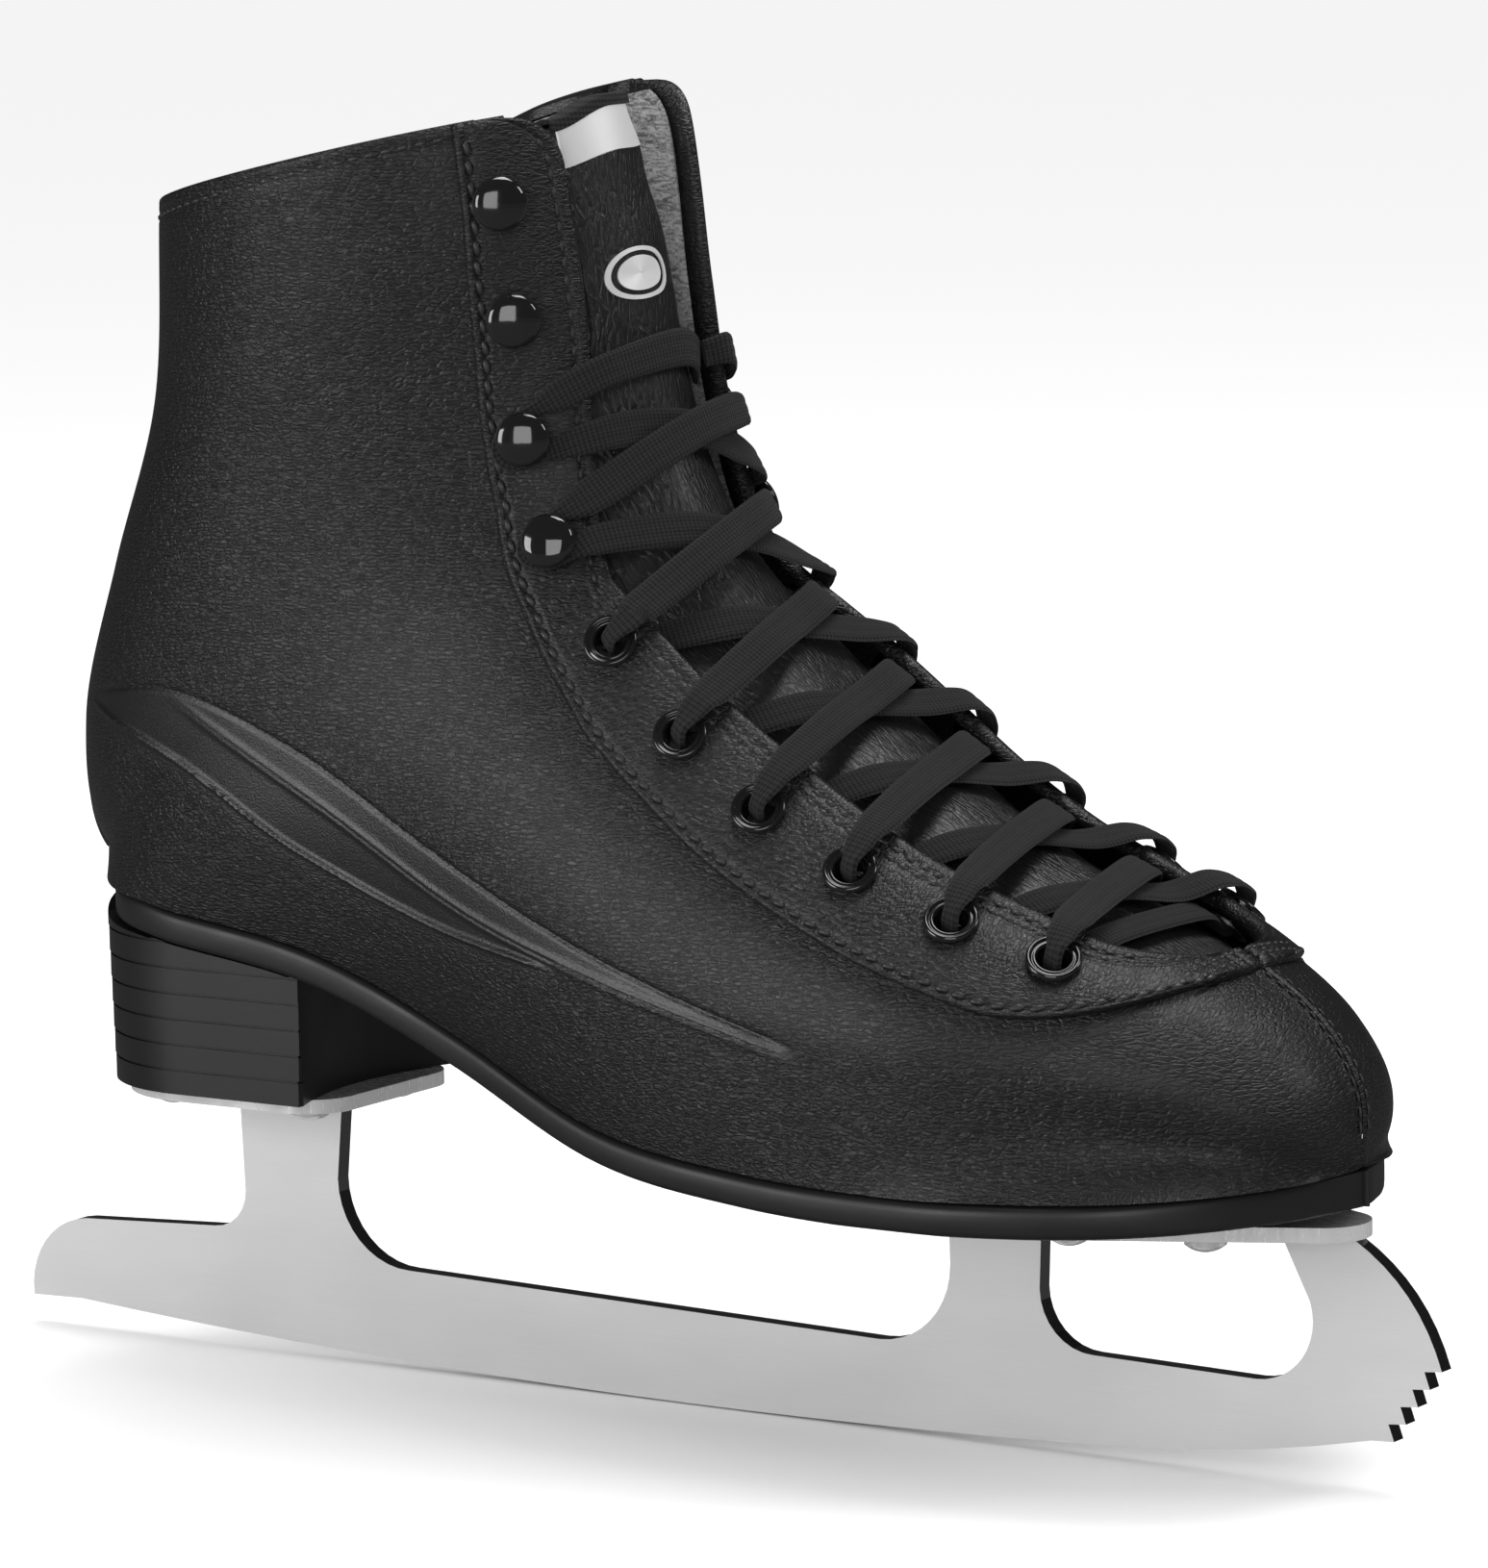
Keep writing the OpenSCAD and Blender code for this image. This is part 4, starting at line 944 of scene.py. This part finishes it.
def emblem():
    """A plain oval mark on the tongue, in place of any name."""
    points, faces = [], []
    centre = Vector((0.868, -0.028))
    count = 72
    for inner, outer in ((0.84, 1.0), (0.02, 0.66)):
        start = len(points)
        for i in range(count):
            turn = 2 * math.pi * i / count
            for radius, lift in ((inner, 0.25), (inner, 0.5), (outer, 0.5), (outer, 0.25)):
                u = centre.x + 0.022 * radius * math.sin(turn)
                v = centre.y + 0.062 * radius * math.cos(turn)
                points.append(skin(u, v, -tongue_depth(u, v) + lift))
        for i in range(count):
            a, b = start + i * 4, start + (i + 1) % count * 4
            faces += [(a + j, a + (j + 1) % 4, b + (j + 1) % 4, b + j) for j in range(4)]
    return make_object("tongue_emblem", points, faces)


# ---- Lace ----
EDGE_Z = FACING_TOP + 1.3
UNDER_Z = -LEATHER_T - 1.5
DEEP_Z = -LEATHER_T - 2.3
HOOK_LACE_Z = FACING_TOP + 2.65
LACE_W = 6.5
LACE_T = 1.1


def knot(u, v, off, face, width=LACE_W, thick=LACE_T, lean=0):
    """A point of the lace: place, face direction, width and thickness. lean 1 stands it up."""
    n = skin_normal(u, v)
    d = (skin(u, v * 0.97) - skin(u, v)).normalized() if lean else Vector()
    return skin(u, v) + n * off, face * (n * (1 - lean) + d * lean), width, thick


def crossing(e, g, side):
    """u at v along a strand from e over to g on the other side."""
    return lambda v: e[0] + (g[0] - e[0]) * clamp01((e[1] - side * v) / (e[1] + g[1]))


def hole_knots(e, side, face):
    """Up through an eyelet, folded narrow."""
    return [knot(e[0], side * e[1], off, -face, 3.3, 1.4, 1) for off in (-2.3, 3)]


def strand(e, g, side, face):
    """From one hole up over the facing, across the throat and under the other facing."""
    over = side < 0
    at = crossing(e, g, side)
    e0 = throat_edge(at(side * 0.17))
    e1 = throat_edge(at(-side * 0.17))
    places = ((e[1] - 0.033, FACING_TOP + 3, 5, 1.2),
              (e0, EDGE_Z, LACE_W, LACE_T),
              (0.09, 0.5 if over else -2, LACE_W, LACE_T),
              (0, -0.6 if over else -2.4, LACE_W, LACE_T),
              (-0.09, -0.5 if over else -2.4, LACE_W, LACE_T),
              (-e1, UNDER_Z, LACE_W - 1, LACE_T),
              (0.035 - g[1], DEEP_Z, 5.2, 1.2))
    return hole_knots(e, side, face) + [
        knot(at(side * v), side * v, off, face, width, thick) for v, off, width, thick in places]


def free_strand(e, g, side, face):
    """From a place up over one facing, across and on top of the other facing to a hook."""
    over = side < 0
    at = crossing(e, g, side)
    e0 = throat_edge(at(side * 0.17))
    e1 = throat_edge(at(-side * 0.17))
    places = ((e0, EDGE_Z + 0.6, LACE_W), (0.09, 0.9 if over else -1.4, LACE_W),
              (0, 0.2 if over else -1.7, LACE_W), (-0.09, 0.9 if over else -1.2, LACE_W),
              (-e1, EDGE_Z + 0.6, LACE_W - 1))
    return [knot(at(side * v), side * v, off, face, width) for v, off, width in places]


def round_hook(h, side, face):
    """Round the neck of a hook, from below to above."""
    turns = ((-1, -0.48), (-0.8, 0.6), (0, 1), (0.8, 0.6), (1, -0.48))
    return [knot(h[0] + 0.018 * du, side * (h[1] + 0.025 * dv), HOOK_LACE_Z, face, 2.5, 1.7)
            for du, dv in turns]


def half_lace(side):
    """From the middle of the lowest rung to the tucked end."""
    first = EYES[0]
    knots = [
        knot(first[0], side * 0.09, -2.75, -1, LACE_W - 1),
        knot(first[0], side * 0.16, UNDER_Z - 0.1, -1, LACE_W - 1),
        knot(first[0], side * (first[1] - 0.035), DEEP_Z, -1, 5.2, 1.2)]
    face = 1
    for e, g in zip(EYES, EYES[1:]):
        knots += strand(e, g, side, face)
        side, face = -side, -face
    e, (h0, h1) = EYES[-1], HOOKS[:2]
    knots += hole_knots(e, side, face)
    knots.append(knot(e[0] + 0.004, side * (e[1] - 0.033), FACING_TOP + 3, face, 5, 1.2))
    knots += free_strand(e, (h0[0] - 0.01, h0[1]), side, face)
    knots += round_hook(h0, -side, face)
    knots += free_strand((h0[0] + 0.014, h0[1]), (h1[0] - 0.014, h1[1]), -side, face)
    knots += round_hook(h1, side, face)
    if side > 0:
        tucked = ((0.022, 0.185, EDGE_Z + 1.2, -1), (0.025, 0.13, 2.4, -1), (0.02, 0.09, -1.6, -2))
    else:
        tucked = ((0.022, -0.185, EDGE_Z + 1.2, -1), (0.025, -0.13, 2.4, -1), (0.025, 0, -1.4, 0),
                  (0.02, 0.08, -2.6, 0), (0.016, 0.15, -4.5, -1))
    return knots + [knot(h1[0] + du, v, off, face, LACE_W + wider) for du, v, off, wider in tucked]


def slope(a, b, c, d, f):
    """The direction of catmull() at f."""
    return 0.5 * ((c - a) + 2 * (2 * a - 5 * b + 4 * c - d) * f + 3 * (3 * b - a - 3 * c + d) * f * f)


def lace_sections(knots, fine=10):
    """(place, sideways, outwards) of even steps along the lace, the last two as half sizes."""
    last = len(knots) - 1
    for i in range(last * fine + 1):
        j = min(int(i / fine), last - 1)
        f = i / fine - j
        near = [knots[min(max(k, 0), last)] for k in (j - 1, j, j + 1, j + 2)]
        b, c = near[1:3]
        places = [k[0] for k in near]
        direction = slope(*places, f)
        x = direction.cross(b[1].lerp(c[1], smooth(f))).normalized()
        y = x.cross(direction).normalized()
        yield (catmull(*places, f), x * (lerp(b[2], c[2], smooth(f)) / 2),
               y * (lerp(b[3], c[3], smooth(f)) / 2))


def lace():
    """The whole lace as one flat braid with lengthwise ribs."""
    ribs = 3
    columns = steps(-1, 1, 18)
    rings, uvs = [], []
    travelled, before = 0.0, None
    for place, sideways, outwards in lace_sections(half_lace(-1)[::-1] + half_lace(1)):
        travelled += (place - before).length if before else 0
        before = place
        ring = []
        for flip in (1, -1):
            for column in columns[::flip]:
                rim = math.sqrt(max(1 - abs(column) ** 5, 0))
                rib = 0.82 + 0.18 * abs(math.cos(math.pi * ribs * column / 2))
                ring.append(place + sideways * column + outwards * (flip * rim * rib))
                uvs.append((sideways.length * column + flip * 20, travelled))
        rings.append(ring)
    obj = loft("lace_braid", rings, angle=70)
    set_uvs(obj, uvs)
    return obj


# ---- Stitches ----
def walk(path, pitch):
    """Even places along a path given as a function from 0 to 1 to (u, v, off).
    Gives (point, direction, normal) for each."""
    count = 600
    spots = [path(i / count) for i in range(count + 1)]
    points = [skin(*s) for s in spots]
    lengths = [0.0]
    for a, b in zip(points, points[1:]):
        lengths.append(lengths[-1] + (b - a).length)
    number = max(int(lengths[-1] / pitch), 1)
    places, k = [], 0
    for i in range(number):
        target = lengths[-1] * (i + 0.5) / number
        while lengths[k + 1] < target:
            k += 1
        u, v, _ = spots[k]
        places.append((points[k], (points[k + 1] - points[k]).normalized(), skin_normal(u, v)))
    return places


def stitches(name, paths, pitch, length, width, height, slant=0.0):
    """One small capsule for each stitch along the paths."""
    points, faces = [], []
    around, along = 8, 6
    for path in paths:
        for point, direction, normal in walk(path, pitch):
            side = normal.cross(direction).normalized()
            turned = (direction * math.cos(slant) + side * math.sin(slant)).normalized()
            side = normal.cross(turned).normalized()
            start = len(points)
            for i in range(along + 1):
                t = -math.cos(math.pi * i / along)
                size = max(math.sqrt(max(1 - t ** 4, 0)), 0.12)
                sag = -0.45 * height * t * t
                for j in range(around):
                    turn = 2 * math.pi * j / around
                    sideways = size * width / 2 * math.cos(turn)
                    upwards = sag + size * height / 2 * math.sin(turn)
                    points.append(point + turned * (t * length / 2) + side * sideways + normal * upwards)
            faces += ring_faces(along + 1, around, start)
    obj = make_object(name, points, faces)
    return dress(obj, "trim_leather", THREAD)


def inside_edge(side, edge, distance, u0, u1, off):
    """A path that keeps its distance in millimetres from an edge given as v at u."""
    def path(t):
        u = lerp(u0, u1, t)
        v = edge(u)
        return u, side * (v + distance / max(per_v(u, side * v), 5)), off

    return path


def level_path(side, v0, v1, u_of, off):
    """A path across the boot, with u given as a function of v."""
    def path(t):
        v = lerp(v0, v1, t)
        return u_of(v), side * v, off

    return path


def sew():
    """Every visible seam."""
    both = SIDES.values()
    top = FACING_TOP - 0.12
    stitches("seam_facing_outer", [inside_edge(s, facing_edge, -2.0, 0.192, 0.992, top) for s in both],
             3.3, 2.6, 1.0, 0.7, 0.16)
    front = {side: (lambda u, side=side: front_edge(u, side)) for side in both}
    stitches("seam_facing_front", [inside_edge(s, front[s], FRONT_STITCH, 0.232, 0.985, top) for s in both],
             2.9, 2.1, 0.75, 0.55)
    stitches("seam_facing_second", [inside_edge(s, front[s], SECOND_STITCH, 0.24, 0.63, top) for s in both],
             2.9, 2.1, 0.75, 0.55)
    collar_u = 1 - STITCH_FROM_TOP / per_u(0.99, 0.6)
    stitches("seam_collar", [level_path(s, 0.28, 0.945, lambda v: collar_u, -0.05) for s in both],
             2.9, 2.1, 0.7, 0.5)
    stitches("seam_facing_top", [level_path(s, 0.19, 0.262, lambda v: 1 - 2.8 / per_u(0.99, 0.2), top)
                                 for s in both], 2.9, 2.1, 0.7, 0.5)
    stitches("seam_vamp", [inside_edge(s, lambda u: 0.0, 1.5, 0.03, 0.184, 0.5) for s in both],
             2.4, 1.7, 0.6, 0.45)
    stay = [inside_edge(s, lambda u: 1 - stay_half(u), 1.8, HEEL_U + 0.012, 0.98, 1.05) for s in both]
    stitches("seam_back_stay", stay, 2.8, 2.0, 0.65, 0.5).data.materials[0] = PALE_THREAD
    box = [level_path(1, -0.13, 0.13, lambda v, u=u: u + 0.12 * v * v, FACING_TOP + 0.02)
           for u in (0.1945, 0.2015)]
    stitches("seam_bar_tack", box, 2.4, 1.7, 0.7, 0.5)


# ---- Sole ----
def board(name, x0, x1, count, half_at, levels_at, outline, angle):
    """A board along the sole. outline is half a section, as (across, up) from 0 to 1."""
    rings = []
    for i in range(count):
        x = lerp(x0, x1, 0.5 - 0.5 * math.cos(math.pi * i / (count - 1)))
        near = clamp01((x - x0) / (x1 - x0))
        tip = math.sqrt(math.sqrt(max(1 - abs(2 * near - 1) ** 12, 0)))
        half = max(half_at(x), 0.8) * max(tip, 0.15)
        y = swing(x, seat_z(x))
        low, high = levels_at(x)
        right, left = ([Vector((x, y + way * half * across, lerp(low, high, up)))
                        for across, up in outline] for way in (1, -1))
        rings.append(right + left[::-1][1:-1])
    return loft(name, rings, angle=angle)


def outsole():
    """The outsole, with a slightly rounded edge. At the ball it rests flat on the sole plate."""
    def levels(x):
        low = seat_z(x) - OUTSOLE_T
        return max(low, SOLE_REST_Z + 0.1) if 20 < x < 100 else low, seat_z(x) - 0.25

    outline = ((0.0, 0.0), (0.6, 0.0), (0.86, 0.0), (0.965, 0.04), (0.992, 0.12), (1.0, 0.24),
               (1.0, 0.7), (0.997, 0.84), (0.985, 0.95), (0.96, 1.0), (0.6, 1.0), (0.0, 1.0))
    return board("outsole_rubber", HEEL_X - 0.6, TOE_X + 0.9, 141, lambda x: sole_half(x) + 0.7,
                 levels, outline, 45)


def insock():
    """The footbed: a thin padded board with a rounded edge."""
    outline = ((0.0, 0.0), (0.9, 0.0), (0.98, 0.2), (1.0, 0.5), (0.98, 0.8), (0.9, 1.0), (0.45, 1.0),
               (0.0, 1.0))
    return board("footbed_cover", -108, 116, 81, lambda x: sole_half(x) - 10,
                 lambda x: (seat_z(x) + 4.4, seat_z(x) + 8), outline, 60)


# ---- Metal fittings ----
def fittings():
    """The eyelet rings and the domed hooks, turned about their own axes."""
    seat = FACING_TOP + 0.25
    low = -LEATHER_T - 0.9
    rim = ((4.55, 0), (4.6, 0.3), (4.5, 0.62), (4.3, 0.82), (4.05, 0.88), (3.82, 0.78), (3.66, 0.58),
           (3.5, 0.52), (3.3, 0.62), (3.08, 0.66), (2.86, 0.5), (2.74, 0.2))
    ring = [(r, seat + z) for r, z in rim] + [(2.7, seat - 0.4), (2.7, low), (3.15, low), (3.15, seat)]
    cap_z, cap_h = 4.0, 2.1
    foot = ((0, 0), (3.45, 0), (3.68, 0.15), (3.7, 0.4), (3.5, 0.62), (3.1, 0.7), (1.9, 0.75),
            (1.45, 1.1), (1.3, 1.6), (1.3, cap_z - 0.15))
    under = ((2.6, cap_z), (4.2, cap_z + 0.02), (4.5, cap_z + 0.12), (4.6, cap_z + 0.35),
             (4.52, cap_z + 0.6))
    dome = tuple((4.4 * math.cos(t), cap_z + 0.65 + (cap_h - 0.65) * math.sin(t))
                 for t in (math.radians(a) for a in range(8, 91, 8)))
    hook = [(r, seat + z) for r, z in foot + under + dome + ((0, cap_z + cap_h),)]
    for name, profile, spots, slot, node in (("eyelet_rings", ring, EYES, "eyelet_black", "eyelets"),
                                             ("lace_hooks", hook, HOOKS, "hook_black", "hooks")):
        places = [on_skin(u, side * v) for side in SIDES.values() for u, v in spots]
        dress(lathe(name, profile, places), slot, stands_for=(node,))


# ---- The skate ----
for word, s in SIDES.items():
    dress(upper(f"{word}_quarter", s), "upper_leather", stands_for=(f"{word}_upper",))
    dress(facing(f"{word}_eyestay", s), "facing_leather",
          stands_for=(f"{word}_facing", f"{word}_facing_backing"))
    dress(quarter_lining(f"{word}_lining_knit", s), "lining_knit",
          stands_for=(f"{word}_lining", f"{word}_ankle_pad"))
dress(back_stay(), "trim_leather", stands_for=("back_stay",))
dress(collar(), "trim_leather", stands_for=("collar_binding",))
dress(vamp_lining(), "lining_knit", stands_for=("vamp_lining",))
dress(outsole(), "sole_black", stands_for=("outsole",))
dress(insock(), "footbed_foam", stands_for=("footbed",))
dress(lace(), "lace_braid", stands_for=("lace",))
fittings()
sew()

# Two places on the tongue's middle line, at u 0.79 and 0.85
bend_from = skin(0.79, 0) * MM
bend_to = skin(0.85, 0) * MM
LAYERS = (
    (tongue_layer("tongue_face", 0.2, TONGUE_TOP, 0, 1.2, ruffle=0.3), "tongue_leather",
     ("tongue_lower", "tongue_upper")),
    (tongue_layer("tongue_foam", 0.24, TONGUE_TOP - 0.004, 1.25, 5, 0.004, 1.8), "padding_foam",
     ("tongue_lower_padding", "tongue_upper_padding")),
    (tongue_layer("tongue_back", 0.24, TONGUE_TOP, 5.05, 6, 0.002), "lining_knit",
     ("tongue_lower_lining", "tongue_upper_lining")),
    (emblem(), "satin_panel", ()),
)
for piece, slot_name, nodes in LAYERS:
    dress(piece, slot_name, body=None, stands_for=nodes)
    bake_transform(piece)
dress(tongue_panel(), "satin_panel", body="tongue_top", stands_for=("tongue_panel",))
dress(tongue_tape(), "binding_tape", body="tongue_top", stands_for=("tongue_binding",))

CAD_SLOTS = {
    "blade_runner": "runner_steel", "sole_plate": "plate_nickel", "heel_plate": "plate_nickel",
    "sole_plate_screws": "screw_nickel", "heel_plate_screws": "screw_nickel",
    "heel_block": "heel_black", "steel_shank": "shank_steel", "forefoot_filler": "cork_filler",
    "insole_board": "insole_fibre", "toe_puff": "stiffener", "heel_counter": "stiffener",
    "eyelet_washers": "washer_steel", "hook_rivets": "washer_steel",
}
for node_name, slot_name in CAD_SLOTS.items():
    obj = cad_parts[node_name]
    obj.data.materials.clear()
    obj.data.materials.append(MATERIALS[slot_name])

# ---- Floor, light and camera ----
# How strongly the floor and the world shine, and how much of that shiny parts mirror
PAPER, PAPER_MIRRORED = 0.95, 0.08
SKY, SKY_MIRRORED = 0.95, 0.035


def area_light(name, place, size, power, ratio=1.0):
    """A soft box aimed at the middle of the skate."""
    middle = Vector((0, 0, 0.13))
    data = bpy.data.lights.new(name, "AREA")
    data.shape = "RECTANGLE"
    data.size, data.size_y, data.energy = size, size * ratio, power
    light = bpy.data.objects.new(name, data)
    light.location = place
    light.rotation_euler = (middle - Vector(place)).to_track_quat("-Z", "Y").to_euler()
    bpy.context.scene.collection.objects.link(light)
    light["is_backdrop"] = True


def floor_paint():
    """Pale matt paint that the shiny parts mirror only faintly."""
    look = Look("floor_paint", grey(PAPER), 0.95, Specular_IOR_Level=0.0)
    look.bump(look.noise(look.place((40, 40, 40)), 2), 0.01)
    ray = look.add("LightPath").outputs["Is Glossy Ray"]
    look.tint(ray, grey(PAPER), grey(PAPER_MIRRORED))
    return look.material


def studio():
    """A pale floor out to the horizon, a pale sky and four soft boxes."""
    floor_mesh = bpy.data.meshes.new("floor")
    corners = [(15 * x, 15 * y, 0) for x, y in ((-1, -1), (1, -1), (1, 1), (-1, 1))]
    floor_mesh.from_pydata(corners, [], [(0, 1, 2, 3)])
    floor = bpy.data.objects.new("floor", floor_mesh)
    bpy.context.scene.collection.objects.link(floor)
    floor_mesh.materials.append(floor_paint())
    floor.location.z = -0.0003
    floor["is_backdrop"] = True
    world = bpy.data.worlds.new("studio")
    bpy.context.scene.world = world
    world.use_nodes = True
    tree = world.node_tree
    background = tree.nodes["Background"]
    background.inputs["Color"].default_value = (1, 1, 1, 1)
    ray = tree.nodes.new("ShaderNodeLightPath")
    dim = tree.nodes.new("ShaderNodeMapRange")
    dim.inputs["To Min"].default_value = SKY
    dim.inputs["To Max"].default_value = SKY_MIRRORED
    tree.links.new(ray.outputs["Is Glossy Ray"], dim.inputs["Value"])
    tree.links.new(dim.outputs[0], background.inputs["Strength"])
    area_light("key", (-0.85, -1.35, 0.35), 0.8, 13, 1.1)
    area_light("top", (0.05, 0.25, 1.3), 0.7, 9)
    area_light("rim", (1.1, 0.5, 0.9), 0.4, 3)
    area_light("fill", (0.7, -1.45, 0.42), 0.8, 6)
    bpy.context.scene.view_settings.view_transform = "Standard"


def photo_camera():
    """Stands where the object is seen from ahead of its lateral side, a little above."""
    azimuth, elevation, roll = (math.radians(a) for a in (33.5, 8.0, -1.0))
    back = Vector((math.sin(azimuth) * math.cos(elevation), -math.cos(azimuth) * math.cos(elevation),
                   math.sin(elevation)))
    right = Vector((math.cos(azimuth), math.sin(azimuth), 0))
    up = back.cross(right)
    turned_right = right * math.cos(roll) + up * math.sin(roll)
    turned_up = up * math.cos(roll) - right * math.sin(roll)
    data = bpy.data.cameras.new("camera")
    data.lens = 176.7
    data.sensor_width = 36
    camera = bpy.data.objects.new("camera", data)
    place = (Vector((10.87, 0, 107.43)) + back * 1294.65) * MM
    camera.matrix_world = Matrix.Translation(place) @ Matrix(
        (turned_right, turned_up, back)).transposed().to_4x4()
    bpy.context.scene.collection.objects.link(camera)
    bpy.context.scene.camera = camera


studio()
photo_camera()

visual_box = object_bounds()
corners = [[list(corner) for corner in box] for box in (cad_box, visual_box)]
